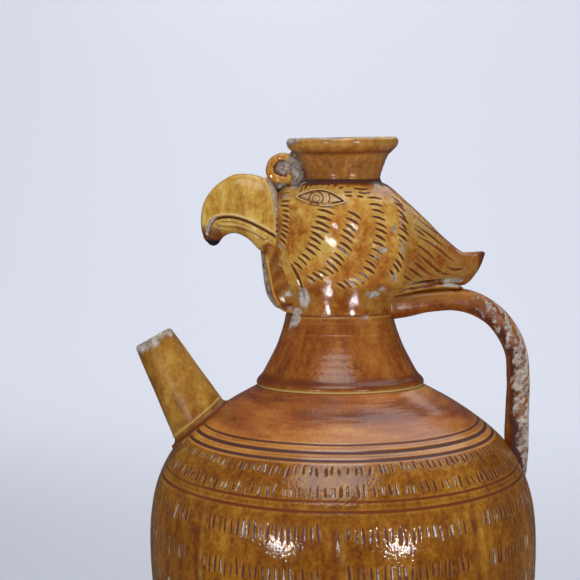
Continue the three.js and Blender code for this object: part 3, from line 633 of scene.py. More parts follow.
bodyValues = {
    "waistRadius": 53,
    "bellyRadius": 98.55,
    "neckRadius": 43.1,
    "wall": 6,
    "lowerShares": [[0, 0], [0.075, 0.059], [0.245, 0.163], [0.447, 0.294], [0.623, 0.425],
                    [0.772, 0.556], [0.887, 0.686], [0.973, 0.85], [1, 1]],
    "shoulderShares": [[0.989, 0.191], [0.953, 0.345], [0.864, 0.51], [0.709, 0.6625],
                       [0.481, 0.795], [0.246, 0.904], [0, 1]],
    "ringTilt": 1.3,
    "ringTiltReach": 9,
    # turned lines: height, width, depth and how dark the glaze pools
    "lines": [[231, 1.2, 0.15, 0.72], [228.3, 1.7, 0.26, 0.86], [225.4, 1.5, 0.24, 0.82],
              [210.6, 1.0, 0.08, 0.5], [206.7, 1.3, 0.1, 0.55]],
    "lineLip": 0.12,
    # how pale the lines' lips are: thin glaze, set lighter as painted sheen
    "linePale": 0.34,
    "panelCount": 9,
    "panelPhase": -2,
    "creaseDepth": 0.55,
    "creaseWidth": 1.9,
    "creaseTop": 203.5,
    "creaseLow": 34,
    # rows of combed nicks round the shoulder: height, nick length, pitch
    "bandRows": [[222.2, 5.0, 3.4], [214.4, 5.6, 3.6]],
    "bandReach": 2.4,
    # rows of nicks in each panel: height and nick length
    "panelRows": [[198, 8.4], [181, 8.6], [164, 8.4], [147, 8.4], [130, 8.2], [113, 8], [96, 7.8],
                  [79, 7.4], [63, 6.8]],
    "panelPitch": 3.0,
    "panelMargin": 6.6,
    "nickWidth": 1.4,
    "nickDepth": 0.27,
    "nickLip": 0.06,
    "nickDark": 0.82,
    # how much of a nick's depth its clay takes up
    "clayFilling": 0.45,
    # the least and most clay that a nick holds, for plain nicks and for filled ones
    "bandFill": ((0.1, 0.34), (0.44, 0.74)),
    "panelFill": ((0.14, 0.38), (0.48, 0.82)),
    # where the wall is split into bands, and where it bends in to the floor
    "collarLow": 224.0,
    "bellyLow": 105.0,
    "floorBend": 12,
    # columns of each band, and the spacing of its rows inside and outside the zones
    "bands": {
        "shoulder_collar": (720, 0.34, 1.3),
        "shoulder_combed_band": (1440, 0.62, 1.2),
        "shoulder_panels": (1440, 0.8, 1.6),
        "belly_panels": (1320, 0.85, 2.0),
        "lower_body_panels": (1080, 0.85, 2.0),
    },
    # where the glaze ends over the foot, how softly, and how far it drips
    "glazeEnd": 27,
    "glazeFade": 2.5,
    "glazeDrip": 3.2,
}

bodyPoints = np.concatenate([
    profilePoints(bodyValues["lowerShares"], bodyValues["waistRadius"], bodyValues["bellyRadius"],
                  heights["waist"], heights["belly"]),
    profilePoints(bodyValues["shoulderShares"], bodyValues["neckRadius"], bodyValues["bellyRadius"],
                  heights["belly"], heights["neck"]),
])


# the radius of the body's profile at a height
def bodyRadius(z):
    return smoothThrough(bodyPoints[:, 1], bodyPoints[:, 0], z)[..., 0]


# direction out of the body's profile at a height, as radius and height parts
def bodyOutward(z):
    step = 0.05
    slope = (bodyRadius(z + step) - bodyRadius(z - step)) / (2 * step)
    size = np.hypot(1, slope)
    return 1 / size, -slope / size


fineZ = np.linspace(heights["waist"], heights["neck"], 6000)
fineArc = np.concatenate([[0], np.cumsum(np.hypot(np.diff(fineZ), np.diff(bodyRadius(fineZ))))])


# the length along the body's profile from the waist up to a height
def arcAt(z):
    return np.interp(z, fineZ, fineArc)


# heights of grid rows between two heights: close together in the zones, wide apart elsewhere
def rowHeights(low, high, fine, coarse, zones):
    arc = np.linspace(arcAt(low), arcAt(high), 4000)
    z = np.interp(arc, fineArc, fineZ)
    density = np.full(arc.shape, 1 / coarse)
    for zoneLow, zoneHigh in zones:
        inside = ease(zoneLow - 1.5, zoneLow, z) * ease(-zoneHigh - 1.5, -zoneHigh, -z)
        density = np.maximum(density, inside / fine)
    total = np.concatenate([[0], np.cumsum((density[1:] + density[:-1]) / 2 * np.diff(arc))])
    count = int(round(total[-1])) + 1
    return np.interp(np.linspace(0, total[-1], count), total, z)


# every nick of the body: angle, height, length, width, slant, depth and fill
def bodyNicks():
    v = bodyValues
    rng = np.random.default_rng(11)
    nicks = []
    for z, length, pitch in v["bandRows"]:
        count = int(2 * math.pi * bodyRadius(z) / pitch)
        turn = (np.arange(count) + rng.uniform(-0.26, 0.26, count)) * 360 / count
        wave = np.sin(np.radians(turn * 3)) * 0.5
        filled = (np.sin(np.radians(turn * 2 + z * 9)) + rng.normal(0, 0.7, count)) > 0.3
        nicks += [[a, z + w + rng.normal(0, 0.3), length * rng.uniform(0.7, 1.1),
                   v["nickWidth"] * rng.uniform(0.85, 1.45), rng.normal(0.03, 0.1),
                   v["nickDepth"] * rng.uniform(0.6, 1), rng.uniform(*v["bandFill"][int(f)])]
                  for a, w, f in zip(turn, wave, filled)]
    for panel in range(v["panelCount"]):
        start = v["panelPhase"] + 360 / v["panelCount"] * panel
        for z, length in v["panelRows"]:
            radius = float(bodyRadius(z))
            margin = math.degrees(v["panelMargin"] / radius)
            width = 360 / v["panelCount"] - 2 * margin
            count = int(math.radians(width) * radius / v["panelPitch"]) + 1
            share = np.linspace(0, 1, count)
            turn = start + margin + width * share + rng.normal(0, 0.18, count)
            lift = rng.normal(0, 0.6) + rng.normal(0, 1.2) * (share - 0.5) + 0.4 * (2 * share - 1) ** 2
            cluster = np.sin(share * 9 + rng.uniform(0, 6))
            filled = (cluster + rng.normal(0, 0.6, count)) > 0.25
            nicks += [[a, z + up + rng.normal(0, 0.4), length * rng.uniform(0.65, 1.08),
                       v["nickWidth"] * rng.uniform(0.7, 1.3) * (1.2 if f else 1), rng.normal(0.02, 0.07),
                       v["nickDepth"] * rng.uniform(0.6, 1.1), rng.uniform(*v["panelFill"][int(f)])]
                      for a, up, f in zip(turn, lift, filled)]
    return nicks


allNicks = bodyNicks()

# where the spout opens through the shoulder: a point on its axis, its lean and the bore's radius
spoutAxis = {"tipX": -97.4, "tipZ": 273.0, "lean": 28.75, "bore": 9.4}


# how far a point is from the spout's axis
def fromSpoutAxis(points):
    lean = math.radians(spoutAxis["lean"])
    along = np.array([math.sin(lean), 0, -math.cos(lean)])
    away = points - np.array([spoutAxis["tipX"], 0, spoutAxis["tipZ"]])
    run = away @ along
    return np.linalg.norm(away - run[..., None] * along, axis=-1), run


# Turned lines: at each height a flat groove runs round, swaying a little, with a low lip on both sides.
def cutTurnedLines(angle, arc, push, fields):
    v = bodyValues
    sway = 0.25 * np.sin(angle + 0.8) + 0.12 * np.sin(3 * angle + 2)
    for lineZ, width, depth, dark in v["lines"]:
        gap = np.abs(arc[:, None] - arcAt(lineZ) - sway)
        groove = ease(-width * 0.62, -width * 0.36, -gap)
        lip = bell(gap - width * 0.95, width * 0.3)
        strength = 0.85 + 0.15 * unevenWave(angle * 3, angle * 0, int(lineZ))
        push += lip * depth * v["lineLip"] - groove * depth * strength
        raiseField(fields, "pooled_and_shade", groove * dark)
        # the lips are paler: thin glaze, raised further as painted sheen on the strips between the lines
        raiseField(fields, "thin", lip * min(v["linePale"], 1.4 * depth))


# Panel creases: upright bell-shaped hollows between the panels, with a low lip on both sides, that fade out
# over the foot and under the lowest turned line.
def pressCreases(angle, height, radius, push, fields):
    v = bodyValues
    step = 360 / v["panelCount"]
    fade = ease(v["creaseLow"], v["creaseLow"] + 14, height)
    fade = fade * ease(-v["creaseTop"] - 1, -v["creaseTop"] + 5, -height)
    off = np.degrees(angle) - v["panelPhase"]
    off = off - step * np.round(off / step) + 0.25 * np.sin(height / 19 + 3 * np.round(off / step))
    side = np.radians(off) * radius
    crease = bell(side, v["creaseWidth"])
    lips = bell(np.abs(side) - v["creaseWidth"] * 1.9, v["creaseWidth"] * 0.62)
    push += fade * (lips * 0.2 - crease) * v["creaseDepth"]
    raiseField(fields, "pooled_and_shade", fade * crease * (0.3 + 0.16 * unevenWave(height / 4, angle, 7)))
    raiseField(fields, "thin", fade * lips * (side > 0) * (0.16 + 0.1 * unevenWave(height / 5, angle, 8)))


# Nicks: each is a flat-bottomed slit with rounded ends, slanted a little, in the columns and rows that it
# reaches. Clay lies in it, mostly against one side.
def combNicks(turn, arc, radius, push, fields):
    v = bodyValues
    columns = len(turn)
    for turnAt, nickZ, length, width, slant, depth, fill in allNicks:
        middle = arcAt(nickZ)
        first = np.searchsorted(arc, middle - length / 2 - 1)
        last = np.searchsorted(arc, middle + length / 2 + 1)
        if last <= first:
            continue
        rows = slice(first, last)
        centre = int(round((turnAt - turn[0]) / 360 * columns))
        spanCount = int(width * 1.7 / (float(bodyRadius(nickZ)) * 2 * math.pi / columns)) + 2
        picked = (centre + np.arange(-spanCount, spanCount + 1)) % columns
        away = (turn[picked] - turnAt + 540) % 360 - 180
        u = (arc[rows] - middle)[:, None]
        w = np.radians(away)[None, :] * radius[rows] + u * slant
        u = u / (length / 2)
        taper = np.sqrt(np.clip(1 - u**4, 0, 1)) * (0.86 - 0.14 * u)
        half = width / 2 * np.maximum(taper, 0.05)
        groove = np.clip(1 - (w / half) ** 4, 0, 1) * np.minimum(1, taper * 1.4)
        lip = bell(np.abs(w) - half * 1.3, width * 0.25) * np.minimum(1, taper * 1.3)
        where = np.ix_(np.arange(first, last), picked)
        push[where] += lip * depth * v["nickLip"] - groove * depth * (1 - v["clayFilling"] * fill)
        raiseField(fields, "pooled_and_shade", groove * v["nickDark"], where)
        raiseField(fields, "thin", lip * (0.12 + 0.14 * fill), where)
        heldSide = ease(-1.2, 0.5, w / half * (1 if slant > 0 else -1))
        raiseField(fields, "bare", groove * fill * heldSide, where)


# A point of the body is its profile turned by an angle from the front, pushed out or in along the profile's
# own normal by the turned lines, the panel creases and the nicks. Its height tilts a little near the neck.
def bodySurface(z, columns):
    v = bodyValues
    turn = np.arange(columns) * 360 / columns + v["panelPhase"] - 180
    angle, height = np.meshgrid(np.radians(turn), z)
    radius = bodyRadius(z)[:, None]
    arc = arcAt(z)
    push = np.zeros(angle.shape)
    fields = noFields(angle.shape)
    cutTurnedLines(angle, arc, push, fields)
    pressCreases(angle, height, radius, push, fields)
    push += 0.1 * unevenWave(angle * 2, height / 26, 5)
    combNicks(turn, arc, radius, push, fields)
    nr, nz = bodyOutward(z)
    reach = radius + push * nr[:, None]
    tilt = v["ringTilt"] * np.cos(angle) * bell(height - heights["neck"], v["ringTiltReach"])
    grid = turnedGrid(reach, angle, height + push * nz[:, None] + tilt)
    away, run = fromSpoutAxis(grid)
    sunk = 1 - ease(spoutAxis["bore"] - 0.5, spoutAxis["bore"] + 0.3, away)
    sunk = sunk * (run > 20) * (grid[..., 0] < 0)
    out = np.stack([np.sin(angle) * nr[:, None], -np.cos(angle) * nr[:, None], nz[:, None] + angle * 0], -1)
    grid -= out * (sunk * (v["wall"] - 0.5))[..., None]
    drips = v["glazeDrip"] * unevenWave(angle * 3, angle * 0, 21)
    glazed = ease(v["glazeEnd"] - v["glazeFade"], v["glazeEnd"] + v["glazeFade"], height + drips)
    raiseField(fields, "bare", 1 - glazed)
    return grid, fields


# the wall's inner face under the same columns, a wall's thickness in from the profile
def bodyInside(z, columns):
    v = bodyValues
    turn = np.arange(columns) * 360 / columns + v["panelPhase"] - 180
    nr, nz = bodyOutward(z)
    radius = bodyRadius(z) - v["wall"] * nr
    height = z - v["wall"] * nz
    angle, height = np.meshgrid(np.radians(turn), height)
    return turnedGrid(radius[:, None], angle, height)


# Joins an outer grid and an inner one into a closed wall, with the inner rows run back down.
def wallOf(outer, inner, fields):
    grid = np.concatenate([outer, inner[::-1]])
    return grid, joinFields([fields, noFields(inner.shape[:2])])


# a closed band of the wall between two heights, with close rows in its zones
def makeBodyBand(name, node, slotName, material, low, high, zones):
    columns, fine, coarse = bodyValues["bands"][name]
    z = rowHeights(low, high, fine, coarse, zones)
    outer, fields = bodySurface(z, columns)
    innerZ = np.linspace(low, high, 9)
    inner = bodyInside(innerZ, columns)
    inner[0, :, 2] = np.minimum(inner[0, :, 2], outer[0, :, 2])
    grid, allFields = wallOf(outer, inner, fields)
    lay(name, node, slotName, grid, allFields, material, loopRows=True)


# the heights that each row of nicks between two heights takes up
def rowZones(rows, low, high):
    return [(z - length / 2 - 0.5, z + length / 2 + 0.5) for z, length in rows if low - 6 < z < high + 6]


# the shoulder in three bands: the collar, the combed band and the top of the panels
def makeShoulder():
    v = bodyValues
    lineZones = [(line[0] - line[1], line[0] + line[1]) for line in v["lines"][:3]]
    bandZones = [(row[0] - v["bandReach"], row[0] + v["bandReach"]) for row in v["bandRows"]]
    upperLine, lastLine = v["lines"][3][0], v["lines"][4][0]
    bandZones += [(upperLine - 1, upperLine + 1), (lastLine, lastLine + 1)]
    panelZones = rowZones(v["panelRows"], heights["belly"], lastLine) + [(lastLine - 1.4, lastLine)]
    low, top = v["collarLow"], heights["neck"]
    for name, slotName, material, start, end, zones in (
            ("shoulder_collar", "deep_amber_glaze", shoulderGlaze, low, top, lineZones),
            ("shoulder_combed_band", "amber_glaze", bellyGlaze, lastLine, low, bandZones),
            ("shoulder_panels", "amber_glaze", bellyGlaze, heights["belly"], lastLine, panelZones)):
        makeBodyBand(name, "shoulder", slotName, material, start, end, zones)


# The lower half in two parts: a band of the wall, and a bowl whose rings close in to a flat underside outside
# and to a flat floor inside.
def makeLowerBody():
    v = bodyValues
    split = v["bellyLow"]
    makeBodyBand("belly_panels", "lower_body", "amber_glaze", bellyGlaze, split, heights["belly"],
                 rowZones(v["panelRows"], split, heights["belly"]))
    columns, fine, coarse = v["bands"]["lower_body_panels"]
    z = rowHeights(heights["waist"], split, fine, coarse, rowZones(v["panelRows"], heights["waist"], split))
    outer, fields = bodySurface(z, columns)
    inner = bodyInside(np.linspace(heights["waist"] + v["floorBend"], split, 8), columns)

    def flatRings(edge, shares, height):
        rings = np.repeat(edge, len(shares), 0)
        rings[..., :2] *= np.array(shares)[:, None, None]
        rings[..., 2] = height
        return rings

    under = flatRings(outer[:1], (0.05, 0.5, 0.9), heights["waist"])
    floor = flatRings(inner[:1], (0.86, 0.5, 0.05), heights["waist"] + v["wall"])
    grid = np.concatenate([under, outer, inner[::-1], floor])
    insideRows = len(inner) + len(floor)
    allFields = joinFields([noFields((len(under), columns)), fields, noFields((insideRows, columns))])
    allFields["bare"][:len(under)] = 1
    lay("lower_body_panels", "lower_body", "amber_glaze", grid, allFields, bellyGlaze)


footValues = {
    "radius": 58,
    # the side from underneath to the top: share of the radius and of the height
    "shares": [[0.93, 0.0], [0.975, 0.02], [1.0, 0.09], [0.998, 0.25], [0.985, 0.42], [0.955, 0.62],
               [0.928, 0.82], [0.914, 0.93], [0.91, 1.0]],
    # radii of the rings that close the underside and the top
    "underRadii": (2, 30, 48),
    "topRadii": (40, 2),
    "turningMark": 0.12,
    "columns": 300,
    "rows": 60,
}


# The foot is a turned disc: its profile is a smooth line of radius and height, with faint turning marks.
def makeFoot():
    v = footValues
    line = np.array(v["shares"]) * [v["radius"], heights["waist"]]
    side = smoothThrough(pathShares(line), line, np.linspace(0, 1, v["rows"]))
    under = np.array([[radius, 0] for radius in v["underRadii"]])
    top = np.array([[radius, heights["waist"]] for radius in v["topRadii"]])
    profile = np.concatenate([under, side, top])
    turned = slice(len(under), len(under) + len(side))
    profile[turned, 0] += v["turningMark"] * np.sin(profile[turned, 1] * 2.6)
    angle = fullTurn(v["columns"])
    radius = profile[:, :1] + 0.2 * np.sin(2 * angle + 1)[None, :] * (profile[:, :1] > 50)
    grid = turnedGrid(radius, angle, np.repeat(profile[:, 1:], v["columns"], 1))
    fields = noFields(grid.shape[:2])
    fields["bare"] += 1
    lay("foot_disc", "foot", "bare_clay", grid, fields, clayBody)


makeFoot()
makeLowerBody()
makeShoulder()
print("body made")


# Neck

neckValues = {
    "topRadius": 27.5,
    "baseRadius": 43.1,
    "wall": 6,
    "shares": [[0.96, 0], [1, 0.032], [0.955, 0.068], [0.87, 0.118], [0.673, 0.26], [0.5, 0.395],
               [0.327, 0.537], [0.17, 0.71], [0.045, 0.884], [0, 1]],
    "columns": 420,
    "rows": 150,
    # the ring at the foot: height, half height and how far it stands out; then the hollow under it
    "ring": (3.6, 2.0, 0.8),
    "ringHollow": (1.3, 0.7, 0.3),
    # bare patches: degrees round, height, half sizes, strength
    "patches": [[-52, 284, 9, 5, 1], [-58, 281.5, 5, 4, 0.9], [28, 284.5, 9, 2.2, 0.55]],
    # turned lines near the top: height under the head, width and depth
    "lines": [[0.9, 0.9, 0.35], [3.6, 0.7, 0.12], [9.5, 0.8, 0.1]],
}


# The neck is its profile turned about the axis, tilted with the shoulder at its ring, with soft throwing
# ripples, a raised ring at the foot and fine lines under the head.
def makeNeck():
    v = neckValues
    low, high = heights["neck"], heights["head"]
    points = profilePoints(v["shares"], v["topRadius"], v["baseRadius"], low, high)
    up = np.linspace(0, 1, v["rows"]) ** 1.25
    z = low + (high - low) * up
    radius = smoothThrough(points[:, 1], points[:, 0], z)[:, 0]
    angle, height = np.meshgrid(fullTurn(v["columns"]), z)
    ripples = 0.025 * np.sin(height * 1.9 + np.sin(angle))
    reach = radius[:, None] + ripples + 0.07 * unevenWave(angle * 2, height / 9, 3)
    fields = noFields(height.shape)
    for drop, width, depth in v["lines"]:
        groove = bell(height - (high - drop) - 0.2 * np.sin(angle * 2), width * 0.45)
        reach -= groove * depth
        raiseField(fields, "pooled_and_shade", groove * depth * 1.2)
        raiseField(fields, "thin", bell(height - (high - drop) + width * 0.9, width * 0.4) * depth)
    darkRing = bell(height - low - 4.8, 2.6) * (0.44 + 0.1 * unevenWave(angle * 3, height / 5, 91))
    raiseField(fields, "pooled_and_shade", darkRing)
    raiseField(fields, "thin", 0.85 * bell(height - low - 0.7, 0.75))
    ring, hollow = (size * bell(height - low - middle, half)
                    for middle, half, size in (v["ring"], v["ringHollow"]))
    reach += ring - hollow
    tilt = bodyValues["ringTilt"] * np.cos(angle) * bell(height - low, bodyValues["ringTiltReach"])
    outer = turnedGrid(reach, angle, height + tilt)
    innerRows = np.linspace(0, v["rows"] - 1, 9).astype(int)
    inner = outer[innerRows].copy()
    shrink = (radius[innerRows] - v["wall"]) / radius[innerRows]
    inner[..., :2] *= shrink[:, None, None]
    layPatches(np.degrees(np.arctan2(outer[..., 0], -outer[..., 1])), height, v["patches"], fields)
    grid, allFields = wallOf(outer, inner, fields)
    lay("neck_cone", "neck", "deep_amber_glaze", grid, allFields, neckGlaze, loopRows=True)


makeNeck()
print("neck made")


# Head and nape plume, one modelled surface in two pieces

headValues = {
    "neckRadius": 27.5,
    # share of the rise, then front, back and side reach in neck radii
    "rings": [[0, 1, 1, 1], [0.09, 1.01, 1.01, 1.005], [0.17, 1.055, 1.035, 1.015],
              [0.27, 1.145, 1.09, 1.05], [0.39, 1.22, 1.165, 1.115], [0.545, 1.275, 1.22, 1.205],
              [0.7, 1.29, 1.2, 1.272], [0.82, 1.275, 1.127, 1.235], [0.91, 1.24, 1, 1.08],
              [0.97, 1.17, 0.873, 0.885], [0.994, 1.1, 0.8, 0.79]],
    "faceNarrowing": 0.25,
    "throatRadius": 14.5,
    "boreRadius": 21.5,
    # plume: place behind the axis, top and bottom heights over the head's foot, half width
    "plume": [[14.9, 66.0, 3.2, 27.0], [24.5, 64.4, 4.2, 25.4], [30.0, 60.4, 6.0, 22.5],
              [34.0, 56.7, 9.0, 20.2], [38.0, 53.0, 11.4, 17.8], [42.0, 49.2, 12.2, 15.4],
              [46.0, 45.2, 12.4, 13.2], [52.3, 38.9, 12.4, 9.9], [56.5, 34.9, 12.4, 8.1],
              [60.3, 31.6, 12.4, 6.7], [64.0, 29.4, 12.6, 5.3], [69.2, 28.9, 16.9, 3.7],
              [72.9, 29.3, 23.0, 2.0], [74.6, 28.4, 27.0, 0.7]],
    # rings that close the crown: share of the reach and lift
    "crownRings": ((0.95, 0.5), (0.86, 0.95), (0.75, 1.1)),
    # the bore between throat and neck: share of the rise and radius
    "bore": ((0.84, 19.4), (0.7, 23.2), (0.45, 24.5), (0.2, 21.9)),
    "unionSoftness": 4.0,
    "seamAngle": 47,
    # the pale raised band along each column of strokes
    "paleBandWidth": 4.4,
    "paleBandRelief": 0.12,
    "paleBandStrength": 0.46,
    # how far the plume's ray test reaches, and its steps
    "rayReach": (15, 76, 245),
    # the crown's dip under the scroll: depth, where it starts and ends in front, half width
    "scrollDip": (3.0, 15, 21, 17),
    "plumeColumns": 231,
    "headColumns": 380,
    "rows": 196,
}

# stroke columns on each cheek: where they run, how many strokes, their slant and length from top to bottom
cheekColumns = [
    {"path": [(-26.0, 347.2), (-26.2, 338.3), (-26.2, 330.0), (-27.6, 323.4), (-28.6, 319.6)],
     "count": 12, "slant": (0, -10, -28, -46), "length": (5.8, 5.6, 5.2, 6.0), "dark": 0.62},
    {"path": [(-5.6, 338.6), (-7.2, 331.6), (-9.4, 326.8), (-12.2, 319.6), (-15.6, 314.6), (-20.0, 310.4)],
     "count": 12, "slant": (-12, -24, -34, -38), "length": (10.4, 10.2, 7.4, 6.6)},
    {"path": [(7.6, 334.2), (4.9, 326.5), (3.0, 319.0), (-0.6, 313.4), (-5.2, 307.6), (-13.4, 303.6)],
     "count": 14, "slant": (-32, -38, -40, -32), "length": (7.6, 8.4, 8.6, 6.0)},
    {"path": [(17.6, 342.4), (18.8, 336.4), (20.4, 329.0), (20.0, 322.0), (17.4, 314.4), (14.2, 307.0),
              (8.6, 302.0), (0.6, 300.4)],
     "count": 17, "slant": (-6, -26, -36, -34), "length": (7.8, 7.2, 7.0, 6.0)},
    {"path": [(29.0, 341.0), (31.6, 334.0), (32.0, 327.8), (31.0, 319.6), (29.8, 312.6), (26.4, 305.6)],
     "count": 13, "slant": (-34, -44, -46, -58), "length": (7.4, 6.8, 6.4, 6.0)},
]

# long feather lines swept back over the plume
plumeLines = [
    [(37.0, 334.6), (43.5, 329.8), (50.0, 325.0), (57.0, 318.6)],
    [(36.0, 330.8), (42.5, 326.6), (49.0, 321.8), (55.0, 316.8)],
    [(37.2, 328.0), (40.8, 325.6), (44.0, 322.8)],
    [(37.6, 324.6), (45.0, 320.8), (51.0, 316.7), (57.0, 311.8), (61.0, 310.4)],
    [(38.0, 320.4), (43.5, 316.3), (48.7, 311.3)],
    [(38.3, 316.2), (46.3, 309.3), (51.3, 305.4), (58.2, 304.3)],
    [(36.0, 312.3), (41.7, 307.6), (46.8, 303.8)],
    [(33.8, 309.1), (39.1, 305.0), (43.2, 302.2)],
    [(32.0, 304.4), (36.7, 301.4)],
    [(54.0, 308.4), (57.8, 306.9), (64.0, 307.3)],
    [(34.0, 299.6), (44.0, 300.8), (56.0, 301.4), (62.0, 300.8)],
]

# short lines over the brow and behind the eye
browLines = [[(-18.9, 346.6), (-17.4, 349.2)], [(-16.6, 347.8), (-14.9, 350.0)],
             [(-14.0, 348.7), (-12.2, 350.7)], [(-11.2, 349.4), (-9.2, 351.0)],
             [(-8.2, 349.5), (-6.2, 351.0)], [(-5.2, 349.2), (-3.2, 350.5)], [(-2.4, 348.6), (-0.4, 349.5)],
             [(0.2, 347.6), (2.6, 348.2)], [(2.4, 345.7), (6.8, 345.4)], [(3.4, 343.9), (7.4, 343.5)],
             [(7.2, 347.6), (11.2, 346.9), (14.8, 347.2)], [(9.4, 345.6), (12.4, 344.9), (16.0, 345.4)],
             [(8.6, 343.6), (12.6, 343.1)]]

# the fold behind the beak's root, down to the throat
throatFold = [(-24.2, 311.4), (-20.6, 305.2), (-18.2, 297.6), (-17.6, 292.0)]

# each kind of cut, in millimetres and shares: a few strokes hold clay
cutKinds = {
    "stroke": {"width": 1.28, "depth": 0.5, "dark": 0.92, "pale": 0.95, "fill": 0.62, "filledShare": 0.12},
    "feather": {"width": 1.6, "depth": 0.75, "dark": 0.6},
    "brow": {"width": 1.2, "depth": 0.5, "dark": 0.9},
    "fold": {"width": 1.7, "depth": 0.6, "dark": 0.8, "fill": 0.3},
}

# bare patches of the near and of the far cheek and plume: place, half sizes, strength
nearPatches = [(-17.2, 294.0, 3.4, 5.6, 1.0), (-22.6, 286.8, 5.0, 2.6, 1.0),
               (-13.6, 302.4, 1.6, 1.6, 0.55), (-21.5, 350.2, 3.6, 1.6, 0.8), (-17.2, 351.6, 3.0, 1.0, 0.7),
               (16.6, 295.6, 4.4, 2.2, 0.85), (21.4, 298.2, 3.4, 1.8, 0.7), (27.2, 303.4, 2.6, 3.2, 0.62),
               (26.9, 327.1, 2.4, 3.2, 0.6), (21.4, 317.4, 3.0, 2.0, 0.62), (17.6, 313.6, 1.8, 1.8, 0.5),
               (31.0, 330.4, 2.0, 3.0, 0.52), (57.0, 301.2, 7.0, 1.8, 0.85), (46.6, 319.8, 4.0, 1.4, 0.5),
               (37.0, 300.4, 5.2, 1.4, 0.6), (6.0, 301.0, 3.0, 1.4, 0.5), (-6.0, 314.0, 2.4, 2.0, 0.45)]
farPatches = [(-18.0, 295.0, 3.6, 5.6, 1.0), (24.0, 322.0, 3.2, 3.6, 0.62), (10.0, 296.4, 5.6, 2.2, 0.7),
              (50.0, 303.0, 6.6, 2.0, 0.8), (-2.0, 331.0, 2.6, 2.6, 0.5), (33.0, 312.0, 3.2, 3.2, 0.5)]


# the bulb's reach to the front, the back and the side at a height share
def bulbReaches(up):
    rings = np.array(headValues["rings"])
    return [headValues["neckRadius"] * smoothThrough(rings[:, 0], rings[:, k], up)[..., 0] for k in (1, 2, 3)]


# the polar radius of the bulb at a height share and an angle from +X: a stretched circle that narrows to
# the face, found by stepping the circle's own angle until it points the wanted way
def bulbRadius(psi, up):
    v = headValues
    front, back, side = bulbReaches(up)
    turn = psi.copy()
    for step in range(14):
        c, s = np.cos(turn), np.sin(turn)
        along = np.where(c < 0, front, back) * c
        across = side * (1 + v["faceNarrowing"] * np.minimum(c, 0) * np.minimum(1, 2 * up)) * s
        miss = np.arctan2(across, along) - psi
        miss = (miss + math.pi) % (2 * math.pi) - math.pi
        turn = turn - 0.8 * miss
    return np.hypot(along, across)


# the farthest reach of the plume along a level ray from the axis, by testing points along the ray against
# the plume's upright oval sections and taking the last one inside
def plumeRadius(psi, z):
    table = np.array(headValues["plume"])
    best = np.zeros(psi.shape)
    for reach in np.linspace(*headValues["rayReach"]):
        x = reach * np.cos(psi)
        top, bottom, width = (smoothThrough(table[:, 0], table[:, k], x)[..., 0] for k in (1, 2, 3))
        middle = heights["head"] + (top + bottom) / 2
        q = ((z - middle) / ((top - bottom) / 2)) ** 2 + (reach * np.sin(psi) / width) ** 2
        inside = (q < 1) & (x > table[0, 0]) & (x < table[-1, 0])
        best = np.where(inside, reach, best)
    return best


# evens out the steps that the ray test leaves, by averaging neighbours a few times
def evened(values, times):
    for step in range(times):
        wide = np.pad(values, 1, mode="edge")
        beside = (wide[:-2, 1:-1], wide[2:, 1:-1], wide[1:-1, :-2], wide[1:-1, 2:])
        values = sum(beside, 4 * wide[1:-1, 1:-1]) / 8
    return values


# the larger of two reaches, rounded where they cross
def softLarger(a, b, softness):
    h = np.clip(0.5 + 0.5 * (a - b) / softness, 0, 1)
    return b + (a - b) * h + softness * h * (1 - h)


# The strokes of one column: set evenly along its path, each a bowed line with its own slant and length.
def strokesOf(column, rng, side):
    shares = np.linspace(0, 1, column["count"])
    path = np.array(column["path"])
    centres = smoothThrough(pathShares(path), path, shares)
    slants = np.interp(shares, np.linspace(0, 1, len(column["slant"])), column["slant"])
    lengths = np.interp(shares, np.linspace(0, 1, len(column["length"])), column["length"])
    kind = cutKinds["stroke"]
    lines = []
    for centre, slant, length in zip(centres, slants, lengths):
        slant = math.radians(slant + rng.normal(0, 3))
        half = length / 2 * rng.uniform(0.85, 1.1)
        run = np.array([math.cos(slant), math.sin(slant)]) * half
        bow = np.array([-run[1], run[0]]) * 0.1
        centre = centre + rng.normal(0, 0.2, 2)
        lines.append({"path": [centre - run, centre + bow, centre + run],
                      "width": kind["width"] * rng.uniform(0.85, 1.15),
                      "depth": kind["depth"] * rng.uniform(0.8, 1.15),
                      "dark": column.get("dark", kind["dark"]) * rng.uniform(0.85, 1),
                      "pale": kind["pale"], "fill": kind["fill"] * (rng.random() < kind["filledShare"]),
                      "side": side})
    return lines


# a given path as a smooth line of evenly spaced points
def smoothPath(path, count):
    path = np.array(path)
    return smoothThrough(pathShares(path), path, np.linspace(0, 1, count))


# every cut in the head's side, for the side of the grid that the mask picks
def headLines(side, seed):
    rng = np.random.default_rng(seed)
    lines = []
    for column in cheekColumns:
        lines += strokesOf(column, rng, side)
    lines += [{"path": smoothPath(path, 9), **cutKinds["feather"], "side": side} for path in plumeLines]
    lines += [{"path": path, **cutKinds["brow"], "side": side} for path in browLines]
    return lines + [{"path": throatFold, **cutKinds["fold"], "side": side}]


# The grid's angles start with the plume's columns, close together behind. Its height shares are close
# together where the plume leaves the bulb, below and above.
def headSpacing():
    v = headValues
    seam = math.radians(v["seamAngle"])
    back = bent(np.linspace(-1, 1, v["plumeColumns"]), 1.35) * seam
    rest = np.linspace(seam, 2 * math.pi - seam, v["headColumns"])[1:-1]
    up = np.linspace(0, 1, 4000) * v["rings"][-1][0]
    total = np.cumsum(1 + 1.6 * bell(up - 0.2, 0.035) + 1.8 * bell(up - 0.44, 0.03))
    return np.concatenate([back, rest]), np.interp(np.linspace(total[0], total[-1], v["rows"]), total, up)


